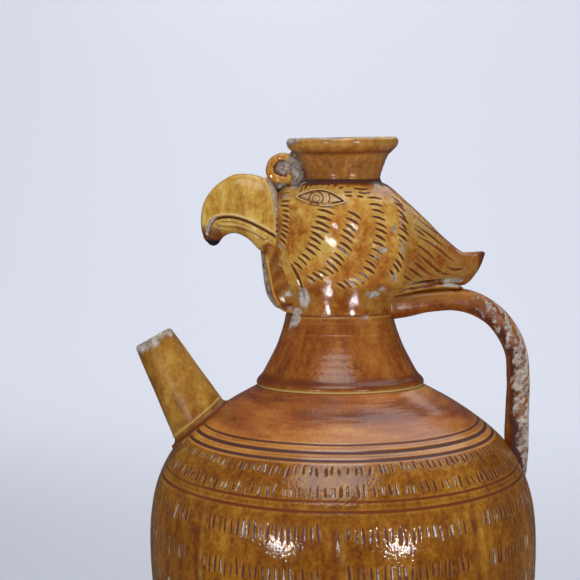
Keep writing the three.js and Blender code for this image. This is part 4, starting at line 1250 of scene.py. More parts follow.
# Cuts the strokes into both sides and shades the head: pale bands along the stroke columns, thicker glaze
# between them, at the foot, crown and plume, and the bare patches. Gives the cuts' depths too.
def cutHead(grid, psi, up, height):
    v = headValues
    x, z = grid[..., 0], grid[..., 2]
    depth = np.zeros(psi.shape)
    fields = noFields(psi.shape)
    near, far = grid[..., 1] < -1.2, grid[..., 1] > 1.2
    for side, seed, patches in ((near, 31, nearPatches), (far, 47, farPatches)):
        carveLines(x, z, headLines(side, seed), fields, depth)
        spots = noFields(psi.shape)
        layPatches(x, z, patches, spots)
        raiseField(fields, "bare", spots["bare"] * side)
    banded = np.zeros(psi.shape)
    for column in cheekColumns[1:]:
        gap = np.min([np.hypot(x - px, z - pz) for px, pz in smoothPath(column["path"], 10)], 0)
        banded = np.maximum(banded, bell(gap, v["paleBandWidth"]))
    depth += v["paleBandRelief"] * banded
    raiseField(fields, "thin", v["paleBandStrength"] * banded)
    between = np.clip(0.55 - banded, 0, 1) * ease(34, 26, x)
    between = between * (0.2 + 0.1 * unevenWave(psi * 5, up * 11, 87))
    lowDown = 0.27 * ease(305, 297, height) + 0.2 * ease(-24, -30, x) + 0.2 * ease(339, 346, height)
    lowDown = np.maximum(lowDown, 0.25 * ease(24, 36, x) + 0.07 * ease(46, 62, x))
    raiseField(fields, "pooled_and_shade", np.maximum(between, lowDown))
    raiseField(fields, "pooled_and_shade", 0.85 * ease(0.945, 0.985, up) * (x > -22))
    raiseField(fields, "pooled_and_shade", 0.8 * ease(69.0, 73.5, x))
    return fields, depth


# The head and its plume: at each height and angle the surface lies at the larger of the bulb's reach and the
# plume's, rounded where they meet, then is pushed in along its normal by the strokes. The crown dips where
# the scroll is pressed on, between cup and beak.
def headGrid():
    v = headValues
    rise = heights["crown"] - heights["head"]
    psi1, up1 = headSpacing()
    psi, up = np.meshgrid(psi1, up1)
    bulb = bulbRadius(psi, up)
    height = heights["head"] + rise * up
    turned = (psi + math.pi) % (2 * math.pi) - math.pi
    plume = np.where(np.abs(turned) < math.radians(75), plumeRadius(turned, height), 0)
    plume = evened(plume, 3)
    reach = softLarger(bulb, plume, v["unionSoftness"])
    reach += 0.12 * unevenWave(psi * 3, up * 7, 9)
    x = reach * np.cos(psi)
    lift = 1.0 * np.clip((x - 60) / 14, 0, 1) ** 2
    grid = np.stack([x, reach * np.sin(psi), height + lift], -1)
    normal = gridNormals(grid)
    normal *= np.sign(np.sum(normal[..., :2] * grid[..., :2], -1).mean())
    fields, depth = cutHead(grid, psi, up, height)
    grid = grid + normal * depth[..., None]
    dip, dipStart, dipEnd, dipWidth = v["scrollDip"]
    dip = dip * ease(0.8, 0.99, up) * ease(dipStart, dipEnd, -grid[..., 0])
    grid[..., 2] -= dip * bell(grid[..., 1], dipWidth)
    return up1, grid, fields, bulb


# moves points of the grid straight in until they lie on the bulb, or a little inside it, at their own height
def onBulb(points, bulb, level, inset, mostShare):
    moved = points.copy()
    share = np.minimum((bulb - inset) / np.hypot(moved[..., 0], moved[..., 1]), mostShare)
    moved[..., :2] *= share[..., None]
    moved[..., 2] = level
    return moved


# Splits the grid in two at the seam. The head's piece runs on under the plume along the bulb, closes over the
# crown in rings and comes back down its bore. The plume's piece closes against the bulb.
def makeHead():
    v = headValues
    up1, outer, fields, bulb = headGrid()
    backCount = v["plumeColumns"]
    rise = heights["crown"] - heights["head"]
    level = (heights["head"] + rise * up1)[:, None]
    hidden = onBulb(outer[:, :backCount:8], bulb[:, :backCount:8], level, 0.6, 1)
    own = np.concatenate([hidden, outer[:, backCount - 1:], outer[:, :1]], 1)
    ownFields = joinFields([noFields(hidden.shape[:2]), pickFields(fields, np.s_[:, backCount - 1:]),
                            pickFields(fields, np.s_[:, :1])], 1)
    crown = []
    for share, lift in v["crownRings"]:
        ring = own[-1:].copy()
        ring[..., :2] *= share
        ring[..., 2] += lift
        crown.append(ring)
    angle = np.arctan2(own[0, :, 1], own[0, :, 0])
    bore = []
    for up, radius in ((1.0, v["throatRadius"]), (0.9, v["throatRadius"]), *v["bore"], (0, v["boreRadius"])):
        z = np.full(angle.shape, heights["head"] + rise * up)
        bore.append(np.stack([radius * np.cos(angle), radius * np.sin(angle), z], -1)[None])
    grid = np.concatenate([own, *crown, *bore])
    allFields = joinFields([ownFields, noFields((len(crown) + len(bore), own.shape[1]))])
    allFields["pooled_and_shade"][len(own):len(own) + len(crown)] = allFields["pooled_and_shade"][len(own) - 1]
    lay("head_bulb", "head", "amber_glaze", grid, allFields, headGlaze, loopRows=True)
    face, faceFields = outer[:, :backCount], pickFields(fields, np.s_[:, :backCount])
    inner = onBulb(face[:, ::-12], bulb[:, :backCount][:, ::-12], level, 0.2, 0.995)
    plumeFields = joinFields([faceFields, pickFields(faceFields, np.s_[:, ::-12])], 1)
    plume = np.concatenate([face, inner], 1)
    lay("nape_plume_feathers", "nape_plume", "amber_glaze", plume, plumeFields, headGlaze)


makeHead()
print("head and plume made")


# Mouth cup

cupValues = {
    "rise": 22.45,
    "baseRadius": 19.6,
    "rimRadius": 28.4,
    "middleRadius": 18.8,
    "lean": 5.5,
    "wall": 4.6,
    "lip": 4.4,
    "columns": 420,
    "rows": 130,
    # share of the way from base to rim radius, share of the rise
    "shares": [[0.12, -0.03], [0, 0.03], [-0.03, 0.09], [0.075, 0.27], [0.225, 0.43], [0.41, 0.59],
               [0.68, 0.7], [0.9, 0.79], [1, 0.87], [0.985, 0.95], [0.9, 1]],
}


# The cup is turned from one closed line: up the flared outside, over the rolled lip and down to the throat.
# It leans towards the front and stands a little behind the axis.
def makeCup():
    v = cupValues
    centreX = (lowOf("mouth_cup", 0) + highOf("mouth_cup", 0)) / 2
    outer = profilePoints(v["shares"], v["baseRadius"], v["rimRadius"], 0, v["rise"])
    rim = v["rimRadius"]
    throat = headValues["throatRadius"]
    inside = np.array([[rim - 2.4, v["rise"] + 0.1], [rim - 3.6, v["rise"] - 0.5],
                       [rim - v["wall"], v["rise"] - 1.6], [rim - v["wall"] - 1.6, v["rise"] - v["lip"]],
                       [v["middleRadius"], v["rise"] * 0.5], [throat + 1.2, v["rise"] * 0.24], [throat, 3.4],
                       [throat, 0]])
    line = np.concatenate([outer, inside])
    shares = np.concatenate([np.linspace(0, 0.62, int(v["rows"] * 0.72)),
                             np.linspace(0.62, 1, v["rows"] // 3)[1:]])
    profile = smoothThrough(pathShares(line), line, shares)
    angle = fullTurn(v["columns"])
    radius = np.repeat(profile[:, :1], v["columns"], 1)
    height = np.repeat(profile[:, 1:], v["columns"], 1)
    outside = (shares < pathShares(line)[len(outer) - 1])[:, None]
    fields = noFields(radius.shape)
    up = height / v["rise"]
    angles = np.broadcast_to(angle, radius.shape)
    under = bell(up - 0.66, 0.035) * outside
    radius = radius - 0.15 * under + 0.08 * np.sin(height * 2.2) * outside + 0.12 * np.sin(3 * angles + 1)
    foot = 1 - ease(0.02, 0.13, up)
    fields["pooled_and_shade"] = np.maximum(0.36 * bell(up - 0.68, 0.06) * outside, 0.95 * foot * outside)
    raiseField(fields, "pooled_and_shade", 0.3 * (1 - outside) * (1 - ease(0.3, 0.95, up)))
    fields["thin"] = 0.75 * bell(up - 0.985, 0.035) + 0.36 * bell(up - 0.86, 0.05) * outside
    degreesRound = np.degrees(angles)
    leftward = (degreesRound - 285 + 180) % 360 - 180
    chipped = ease(0.7, 0.98, up) * bell(leftward, 34)
    ragged = 0.2 * unevenWave(angles * 3, up, 13)
    rimWorn = ease(0.93, 0.99, up) * (0.5 + ragged + 0.2 * bell(leftward - 24, 52))
    fields["bare"] = np.maximum(chipped * 0.8, rimWorn)
    raiseField(fields, "bare", bell(leftward + 13, 16) * outside * 0.75)
    x, y = radius * np.sin(angle), -radius * np.cos(angle)
    lean = math.radians(v["lean"])
    grid = np.stack([x + centreX, y * math.cos(lean) - height * math.sin(lean),
                     heights["crown"] + y * math.sin(lean) + height * math.cos(lean)], -1)
    lay("mouth_cup_flare", "mouth_cup", "amber_glaze", grid, fields, cupGlaze, loopRows=True)


makeCup()
print("cup made")


# Beak

beakValues = {
    "length": 43.5,
    "height": 40,
    "halfWidth": 13.5,
    "rootX": -27.5,
    "rootZ": 316,
    # rings from the root to the hook: top along and up, low along and up, width, all shares
    "rings": [[0.185, 0.955, 0.12, -0.005, 1.0], [0.3, 0.995, 0.29, 0.035, 0.99],
              [0.425, 1.022, 0.44, 0.19, 0.94], [0.6, 1.013, 0.575, 0.262, 0.85],
              [0.735, 0.938, 0.66, 0.26, 0.74], [0.862, 0.825, 0.73, 0.225, 0.63],
              [0.954, 0.675, 0.765, 0.185, 0.52], [0.998, 0.43, 0.785, 0.155, 0.42],
              [0.98, 0.26, 0.81, 0.125, 0.33], [0.95, 0.18, 0.845, 0.108, 0.24],
              [0.917, 0.145, 0.87, 0.108, 0.15], [0.9, 0.13, 0.885, 0.115, 0.05]],
    "squareness": 3.0,
    "root": [[-35.6, 352.9], [-33.4, 348.5], [-32.1, 343.5], [-31.3, 339.1], [-30.6, 334.1], [-30.4, 329.1],
             [-31.2, 324.1], [-32.4, 318.5], [-33.4, 314.0]],
    # mouth line from its corner to the front, in the same shares
    "mouth": [[-0.1, 0.09], [0.133, 0.238], [0.263, 0.322], [0.379, 0.386], [0.495, 0.434],
              [0.64, 0.468], [0.742, 0.462], [0.83, 0.43], [0.872, 0.37], [0.898, 0.276]],
    "lowerLip": [[0.768, 0.385], [0.658, 0.376], [0.556, 0.366], [0.425, 0.325], [0.338, 0.285],
                 [0.223, 0.204]],
    "rows": 200,
    "columns": 240,
    "lowerWidth": 0.93,
    # rings that close the root inside the head: share of its size and how far back
    "rootRings": ((0.5, 3.0), (0.93, 1.2)),
    "bridgeColumns": 9,
}


# One ring of the beak: an upright squared oval leaned with the hook. Near the root each point slides back
# until it lies on the root's own line, seen from the side.
def beakSurface(share, turn, widthShare):
    v = beakValues
    rings = np.array(v["rings"])
    mid = (rings[:, :2] + rings[:, 2:4]) / 2
    stations = pathShares(mid)
    topA, topU, lowA, lowU, width = (smoothThrough(stations, rings[:, k], share)[..., 0] for k in range(5))
    c, s = np.cos(turn), np.sin(turn)
    roundC = bent(c, 2 / v["squareness"])
    roundS = bent(s, 2 / v["squareness"])
    along = (topA + lowA) / 2 + (topA - lowA) / 2 * roundC
    up = (topU + lowU) / 2 + (topU - lowU) / 2 * roundC
    x = v["rootX"] - v["length"] * along
    y = v["halfWidth"] * width * widthShare * roundS
    z = v["rootZ"] + v["height"] * up
    root = np.array(v["root"])[::-1]
    firstX = smoothThrough(root[:, 1], root[:, 0], z)[..., 0]
    firstA = (rings[0, 0] + rings[0, 2]) / 2 + (rings[0, 0] - rings[0, 2]) / 2 * roundC
    x = x + (firstX - (v["rootX"] - v["length"] * firstA)) * (1 - ease(0, 0.3, share))
    return np.stack([x, y, z], -1)


# how far a point of the side view lies from a given line of shares, and that line's points
def fromLine(points, line, count=60):
    v = beakValues
    line = np.array(line) * [-v["length"], v["height"]] + [v["rootX"], v["rootZ"]]
    fine = smoothThrough(pathShares(line), line, np.linspace(0, 1, count))
    return np.min([np.hypot(points[..., 0] - px, points[..., 2] - pz) for px, pz in fine], 0), fine


# how far a point of the side view lies above the mouth line, and how far from it
def aboveMouth(points):
    gap, fine = fromLine(points, beakValues["mouth"], 90)
    order = np.argsort(fine[:, 0])
    line = np.interp(points[..., 0], fine[order, 0], fine[order, 1], left=-1e3)
    return points[..., 2] - line, gap


# Upper beak: a worn lip over a dark cut along the mouth, a raised root line broken by dark dashes, and
# painted sheen along its top.
def shapeUpperBeak(face, fromMouth, cere, fields):
    x, z = face[..., 0], face[..., 2]
    front = ease(-58, -63, x)
    push = 0.45 * bell(fromMouth - 1.5, 0.6) - 0.9 * bell(fromMouth, 0.7) + 0.75 * bell(cere - 0.7, 0.8)
    push -= 0.3 * bell(cere - 2.4, 0.8)
    dashes = ease(-0.1, 0.4, unevenWave(z / 1.1, x / 9, 71)) * ease(340, 334, z)
    fields["thin"] = np.maximum(bell(fromMouth - 1.5, 0.62), 0.9 * bell(cere - 1.5, 0.6))
    fields["bare"] = np.maximum(0.72 * front * bell(fromMouth - 0.7, 0.9), 0.8 * bell(cere - 0.3, 0.55))
    fields["bare"] *= 1 - 0.8 * dashes * bell(cere - 0.3, 0.8)
    fields["pooled_and_shade"] = np.maximum(0.95 * bell(fromMouth, 0.5), 0.9 * dashes * bell(cere - 0.3, 0.6))
    # painted sheen: the top of the upper beak is made paler where the light from above gleams on it
    raiseField(fields, "thin", 0.34 * ease(343, 352, z))
    return push


# Lower beak: a pale lip line, partly a painted highlight, over a shallow groove, and clay worn bare and dark
# glaze along its underside.
def shapeLowerBeak(face, fromMouth, turn, fields):
    lipGap = fromLine(face, beakValues["lowerLip"])[0]
    free = fromMouth > 2
    fromKeel = np.abs(turn - math.pi)
    push = 0.25 * bell(lipGap, 0.6) - 0.3 * bell(lipGap - 1.4, 0.7) * free - 0.8 * bell(fromMouth, 0.8)
    fields["pooled_and_shade"] = np.maximum(0.95 * bell(fromMouth, 0.6), 0.3 * bell(lipGap - 1.5, 0.6) * free)
    # the pale lip line is partly a painted highlight on the lip's ridge
    fields["thin"] = np.maximum(0.85 * bell(lipGap, 0.5), 0.6 * bell(fromMouth - 1.3, 0.5))
    fields["thin"] = fields["thin"] * (np.abs(face[..., 1]) > 2)
    fields["bare"] = 0.52 * bell(fromKeel, 0.5) * ease(-56, -48, face[..., 0])
    raiseField(fields, "pooled_and_shade", 0.45 * ease(0.35, 0.1, fromKeel))
    return push


# Splits each ring at the mouth line, so that the upper beak runs from lip to lip over the top and the lower
# beak from lip to lip underneath, and closes each across the mouth and inside the head. The hook's tip is
# dark.
def beakHalf(upper):
    v = beakValues
    share1 = np.linspace(0, 1, v["rows"]) ** 0.9
    probe = np.linspace(0, math.pi, 240)
    share, turn = np.meshgrid(share1, probe, indexing="ij")
    above, gap = aboveMouth(beakSurface(share, turn, 1))
    split = np.where((above < 0).any(1), probe[np.argmax(above < 0, 1)], math.pi)
    split = np.convolve(np.pad(split, 2, mode="edge"), np.ones(5) / 5, "valid")
    if not upper:
        kept = split < math.pi * 0.94
        share1, split = share1[kept], split[kept]
    half = bent(np.linspace(-1, 1, v["columns"] // 2 * 2 + 1), 0.8)
    if upper:
        turn = half[None, :] * split[:, None]
    else:
        turn = math.pi + half[None, :] * (math.pi - split[:, None])
    share = np.repeat(share1[:, None], turn.shape[1], 1)
    face = beakSurface(share, turn, 1 if upper else v["lowerWidth"])
    above, gap = aboveMouth(face)
    fields = noFields(turn.shape)
    out = gridNormals(face, wrapColumns=False)
    middle = face.mean(1, keepdims=True)
    out *= np.sign(np.sum(out * (face - middle), -1).mean())
    root = np.array(v["root"])[::-1]
    cere = smoothThrough(root[:, 1], root[:, 0], face[..., 2])[..., 0] - face[..., 0]
    fromMouth = np.where(np.abs(half)[None, :] > 0.6, gap, 99)
    push = (shapeUpperBeak(face, fromMouth, cere, fields) if upper
            else shapeLowerBeak(face, fromMouth, turn, fields))
    hook = ease(-57, -61, face[..., 0])
    tipEdge = 324.0 + 0.5 * unevenWave(face[..., 0], face[..., 1], 73) - 0.1 * (face[..., 0] + 66)
    low = np.maximum(ease(1.2, -1.2, face[..., 2] - tipEdge), 0.42 * ease(335, 326, face[..., 2]))
    raiseField(fields, "pooled_and_shade", hook * np.maximum(low, ease(0.2, -1.6, face[..., 2] - tipEdge)))
    fields["thin"] *= 1 - hook * ease(327, 324, face[..., 2])
    face = face + out * push[..., None]
    count = v["bridgeColumns"]
    across = np.linspace(1, 0, count + 2)[1:-1][None, :, None]
    left, right = face[:, :1], face[:, -1:]
    inset = 0.5 if upper else -0.5
    bridge = left * (1 - across) + right * across
    bridge[..., 2] += inset * 4 * (across * (1 - across))[..., 0]
    grid = np.concatenate([face, bridge], 1)
    allFields = joinFields([fields, noFields((len(face), count))], 1)
    allFields["pooled_and_shade"][:, -count:] = 0.8
    root = grid[:1].copy()
    centre = root.mean(1, keepdims=True)
    rows = []
    for scale, back in v["rootRings"]:
        row = centre + (root - centre) * scale
        row[..., 0] += back
        rows.append(row)
    rootFields = pickFields(allFields, np.s_[:1])
    return np.concatenate([*rows, grid]), joinFields([rootFields] * len(rows) + [allFields])


for beakName, beakNode, isUpper in (("upper_beak_hook", "upper_beak", True),
                                    ("lower_beak_jaw", "lower_beak", False)):
    lay(beakName, beakNode, "golden_glaze", *beakHalf(isUpper), beakGlaze)
print("beak made")


# Eyes

eyeValues = {
    "centreX": -8.6,
    "centreZ": 342.3,
    "length": 26.5,
    "rise": 5.5,
    "drop": 3.6,
    "tilt": 8,
    "iris": (-10.8, 342.7),
    "irisRadius": 3.4,
    # the inner ring and the arc behind the iris, in iris radii, and the arc's offset
    "pupilShare": 0.52,
    "arcShare": 1.55,
    "arcOffset": 1.3,
    "rows": 70,
    "columns": 150,
    "relief": 1.2,
}


# Half width of the bulb at a place of the side view: its side reach times the height of a half circle over
# the share of the front or back reach.
def bulbHalfWidth(x, z):
    v = headValues
    up = np.clip((z - heights["head"]) / (heights["crown"] - heights["head"]), 0, 0.99)
    front, back, side = bulbReaches(up)
    c = np.clip(x / np.where(x < 0, front, back), -1, 1)
    return side * (1 + v["faceNarrowing"] * np.minimum(c, 0) * np.minimum(1, 2 * up)) * np.sqrt(1 - c * c)


# An almond pad: lines across the eye run between an upper and a lower lid arc. A raised lid follows the edge,
# a groove lies inside it, the iris is a ring cut round a low dome, and shade is painted under the lower lid.
def makeEye(name, node, sign):
    v = eyeValues
    u = np.linspace(-1, 1, v["columns"])
    w = np.linspace(-1, 1, v["rows"])
    u, w = np.meshgrid(np.sin(u * math.pi / 2), w)
    opening = np.clip(1 - np.abs(u) ** 1.8, 0, 1)
    lid = np.where(w > 0, v["rise"], v["drop"])
    along, up = u * v["length"] / 2, w * lid * opening
    tilt = math.radians(-v["tilt"])
    x = v["centreX"] + along * math.cos(tilt) - up * math.sin(tilt)
    z = v["centreZ"] + along * math.sin(tilt) + up * math.cos(tilt)
    edge = (1 - np.abs(w)) * lid * opening
    edge = np.minimum(edge, (1 - np.abs(u)) * v["length"] / 2 * 0.55)
    fromIris = np.hypot(x - v["iris"][0], z - v["iris"][1])
    secondArc = np.hypot(x - v["iris"][0] - v["arcOffset"], z - v["iris"][1])
    secondArc = secondArc - v["irisRadius"] * v["arcShare"]
    pupil = np.abs(fromIris - v["irisRadius"] * v["pupilShare"])
    push = 0.5 + v["relief"] * (0.62 * bell(edge - 0.55, 0.42) - 0.42 * bell(edge - 1.35, 0.38)
                                + 0.4 * ease(1.2, 3.2, edge))
    rim = np.abs(fromIris - v["irisRadius"])
    push += 0.22 * (1 - ease(0, v["irisRadius"], fromIris)) - 0.42 * bell(rim, 0.36)
    push -= 0.3 * bell(pupil, 0.3)
    arcMask = (x > v["iris"][0]) * (edge > 1.2)
    push -= 0.34 * bell(secondArc, 0.34) * arcMask
    push *= ease(-0.05, 0.45, edge)
    push -= 0.6 * (1 - ease(-0.05, 0.3, edge))
    fields = noFields(x.shape)
    fields["pooled_and_shade"] = np.maximum(0.66 * bell(edge - 1.4, 0.46), 0.5 * bell(rim, 0.48))
    raiseField(fields, "pooled_and_shade", 0.4 * bell(pupil, 0.34))
    raiseField(fields, "pooled_and_shade", 0.5 * bell(secondArc, 0.4) * arcMask)
    # painted shade: the lower edge of the pad is darkened for the shadow under the lower lid
    raiseField(fields, "pooled_and_shade", 0.75 * (1 - ease(0.02, 0.3, edge)) * (w < 0))
    fields["thin"] = np.maximum(1.0 * bell(edge - 0.6, 0.42), 0.45 * ease(1.6, 3.0, edge))
    y = bulbHalfWidth(x, z)
    face = np.stack([x, sign * (y + push), z], -1)
    back = np.stack([x, sign * (y - 2.5), z], -1)
    # each row is a ring: over the face from one corner to the other and back behind it
    grid = np.concatenate([face, back[:, ::-1]], 1)
    allFields = joinFields([fields, noFields(x.shape)], 1)
    lay(name, node, "golden_glaze", grid, allFields, eyeGlaze)


makeEye("eye_right_pad", "eye_right", -1)
makeEye("eye_left_pad", "eye_left", 1)
print("eyes made")


# Wattles

wattleValues = {
    "length": 36,
    "halfWidth": 8,
    "halfThickness": 4.6,
    "topY": 8.0,
    "topZ": 321.5,
    "spread": 5,
    "hollowDepth": 2.3,
    "rimHeight": 0.4,
    # how far the top is tucked in behind the beak
    "tuck": 3.2,
    # share of the way down, width share
    "shares": [[0, 0.5], [0.1, 0.62], [0.25, 0.78], [0.45, 0.94], [0.62, 1], [0.76, 0.93], [0.87, 0.72],
               [0.95, 0.44], [1, 0.1]],
    "rows": 150,
    "columns": 120,
}


# A hanging drop: an oval that widens downward along a swept line, with a shallow hollow in its outer face
# and a soft rim round the hollow, and a painted shadow line down its back edge.
def makeWattle(name, node, sign, topX, swing, worn):
    v = wattleValues
    table = np.array(v["shares"])
    down = (1 - np.cos(np.linspace(0, 1, v["rows"]) * math.pi)) / 2
    down = 0.3 * down + 0.7 * np.sin(np.linspace(0, 1, v["rows"]) * math.pi / 2)
    turn = fullTurn(v["columns"])
    down, turn = np.meshgrid(down, turn, indexing="ij")
    width = np.maximum(smoothThrough(table[:, 0], table[:, 1], down)[..., 0], 0.02)
    width = width * np.sqrt(np.clip((1.004 - down) / 0.05, 0, 1))
    sweep = np.sin(down * math.pi / 2)
    slope = swing * np.cos(down * math.pi / 2) * math.pi / 2 / v["length"]
    size = np.hypot(1, slope)
    across = v["halfWidth"] * width * np.cos(turn)
    thick = v["halfThickness"] * np.sqrt(width) * bent(np.sin(turn), 0.85)
    outerFace = np.sin(turn) * sign > 0
    edge = np.minimum((1 - np.abs(np.cos(turn))) * width * v["halfWidth"], (1.0 - down) * v["length"] * 0.75)
    hollow = ease(1.0, 3.4, edge) * ease(0.1, 0.3, down) * outerFace
    rim = bell(edge - 0.75, 0.5) * ease(0.08, 0.2, down) * outerFace
    thick = thick - sign * (v["hollowDepth"] * hollow - v["rimHeight"] * rim)
    x = topX + swing * sweep + across / size
    tucked = v["tuck"] * ease(0.4, 0.12, down) * ease(-0.5, 1, np.cos(turn))
    y = sign * (v["topY"] + v["spread"] * sweep - tucked) + thick
    z = v["topZ"] - v["length"] * down + across * slope / size
    fields = noFields(x.shape)
    fields["pooled_and_shade"] = np.maximum(0.6 * ease(0.76, 0.9, down), 0.32 + 0.1 * unevenWave(down * 9, turn, 29))
    paleRim = bell(edge - 0.9, 0.8) * ease(0.08, 0.2, down) * outerFace
    fields["pooled_and_shade"] *= 1 - 0.8 * paleRim
    fields["thin"] = paleRim * (0.25 + 0.5 * ease(-0.2, 0.5, np.cos(turn)))
    # painted shadow: a dark line down the wattle's back edge, where it hangs against the throat
    paintedShadowLine = bell(np.cos(turn) - 0.995, 0.09) * ease(0.2, 0.4, down) * ease(-0.93, -0.8, -down)
    raiseField(fields, "pooled_and_shade", 0.85 * paintedShadowLine)
    layPatches(np.cos(turn), down, [(0.0, 0.72, 0.55, 0.07, 0.6)], fields)
    fields["bare"] = np.where(outerFace, fields["bare"], worn)
    raiseField(fields, "bare", worn * ease(-0.7, -0.95, np.cos(turn)))
    lay(name, node, "amber_glaze", np.stack([x, y, z], -1), fields, headGlaze)


makeWattle("wattle_right_drop", "wattle_right", -1, -35.0, 10.2, 0.3)
makeWattle("wattle_left_drop", "wattle_left", 1, -37.4, 7.4, 0.56)
print("wattles made")


# Crest scroll

scrollValues = {
    "centreX": -28.1,
    "centreZ": 358.5,
    "outerRadius": 8.9,
    "endRadius": 4.2,
    "halfThickness": 2.5,
    "lowerThickening": 0.9,
    "halfWidth": 6.2,
    "start": 38,
    "turn": 300,
    "squareness": 2.8,
    "rows": 230,
    "columns": 72,
}


# A strap rolled forward: a squared oval carried round a circle whose end curls up inside.
def makeScroll():
    v = scrollValues
    share, turn = np.meshgrid(np.linspace(0, 1, v["rows"]), fullTurn(v["columns"]), indexing="ij")
    degrees = v["start"] + v["turn"] * share
    angle = np.radians(degrees)
    half = v["halfThickness"] + v["lowerThickening"] * bell(degrees - 255, 60)
    radius = v["outerRadius"] - half
    radius = radius + (v["endRadius"] - radius) * ease(0.78, 1.02, share)
    ends = np.sqrt(np.clip(share / 0.015, 0, 1)) * np.sqrt(np.clip((1 - share) / 0.05, 0, 1))
    half = half * np.maximum(ends, 0.05)
    c, s = np.cos(turn), np.sin(turn)
    out = bent(c, 2 / v["squareness"]) * half
    width = v["halfWidth"] * (1 - 0.06 * share) + 0.25 * unevenWave(angle * 2, turn * 0, 19)
    side = bent(s, 2 / v["squareness"]) * width * np.maximum(ends, 0.3)
    reach = radius + out + 0.12 * unevenWave(angle * 2, turn, 17)
    x = v["centreX"] + np.cos(angle) * reach
    z = v["centreZ"] + np.sin(angle) * reach
    fields = noFields(x.shape)
    fields["bare"] = np.maximum(0.75 * (1 - ease(0.0, 0.2, share)), 0.4 * ease(0.85, 0.97, share))
    raiseField(fields, "bare", 0.42 * bell(share - 0.42, 0.1) * (c > 0.2))
    fields["thin"] = 0.5 * bell(np.abs(side) - 5.2, 0.6) * (c > 0)
    fields["pooled_and_shade"] = 0.5 * ease(-0.2, -0.75, c) + 0.2 * bell(s, 0.3) * (c > 0)
    grid = np.stack([x, side, z], -1)
    lay("crest_scroll_roll", "crest_scroll", "amber_glaze", grid, fields, headGlaze)


beddingRows = 90
beddingColumns = 120

# luting clay: centre, half sizes, roughness and seed of each lump
beddingValues = {
    "crest_luting_clay": ((-20.2, 0.0, 354.6), (5.2, 7.4, 9.4), 0.7, 23),
    "crest_eye_clay": ((-27.2, 0.0, 360.0), (6.6, 5.5, 5.6), 0.6, 37),
    "crest_root_clay": ((-22.4, 0.0, 362.0), (4.8, 6.2, 6.0), 0.7, 41),
    "crest_bedding_clay": ((-29.4, 0.0, 350.2), (4.6, 7.0, 3.0), 0.8, 59),
}


# A lump of luting clay: a ball drawn out to three half sizes and made rough all over.
def makeBedding(name, centre, half, lumps, seed):
    low, turn = np.meshgrid(np.linspace(-1.54, 1.54, beddingRows), fullTurn(beddingColumns), indexing="ij")
    unit = np.stack([np.cos(low) * np.cos(turn), np.cos(low) * np.sin(turn), np.sin(low)], -1)
    ux, uy, uz = np.moveaxis(unit, -1, 0)
    crumbs = unevenWave(ux * 5, uz * 4 + uy * 3, seed + 3) * unevenWave(uz * 5, -ux * 4 + uy * 3, seed + 5)
    rough = 1 + lumps * (0.06 * unevenWave(ux * 3, -uz * 3, seed) + 0.09 * crumbs)
    grid = np.array(centre) + unit * half * rough[..., None]
    fields = noFields(low.shape)
    fields["bare"] += 0.62 + 0.1 * unevenWave(ux * 5, uz * 6, seed + 7)
    fields["pooled_and_shade"] += 0.45
    lay(name, "crest_scroll", "amber_glaze", grid, fields, headGlaze)


makeScroll()
for lumpName, (lumpCentre, lumpHalf, lumpRoughness, lumpSeed) in beddingValues.items():
    makeBedding(lumpName, lumpCentre, np.array(lumpHalf), lumpRoughness, lumpSeed)
print("crest made")


# Handle

handleValues = {
    "rootX": 22,
    "rootZ": 292.16,
    "footZ": 198,
    "reach": 69.2,
    "halfThickness": 5.6,
    "halfWidth": 7.8,
    "squareness": 2.9,
    # share of the way out, share of the drop, thickness share
    "shares": [[0, 0.03, 1.08], [0.156, 0.03, 1.08], [0.341, 0.012, 1.05], [0.526, 0.006, 1.04],
               [0.678, 0.03, 1.04], [0.815, 0.09, 1.03], [0.928, 0.19, 1], [0.991, 0.31, 0.97],
               [1.004, 0.44, 0.98], [1, 0.58, 1], [0.992, 0.72, 1.04], [0.994, 0.83, 0.98],
               [1.007, 0.925, 0.7], [1.033, 1, 0.34]],
    "rows": 300,
    "columns": 96,
    "rootFlare": 0.34,
    "footFlare": 0.22,
    "grooveDepth": 0.45,
}


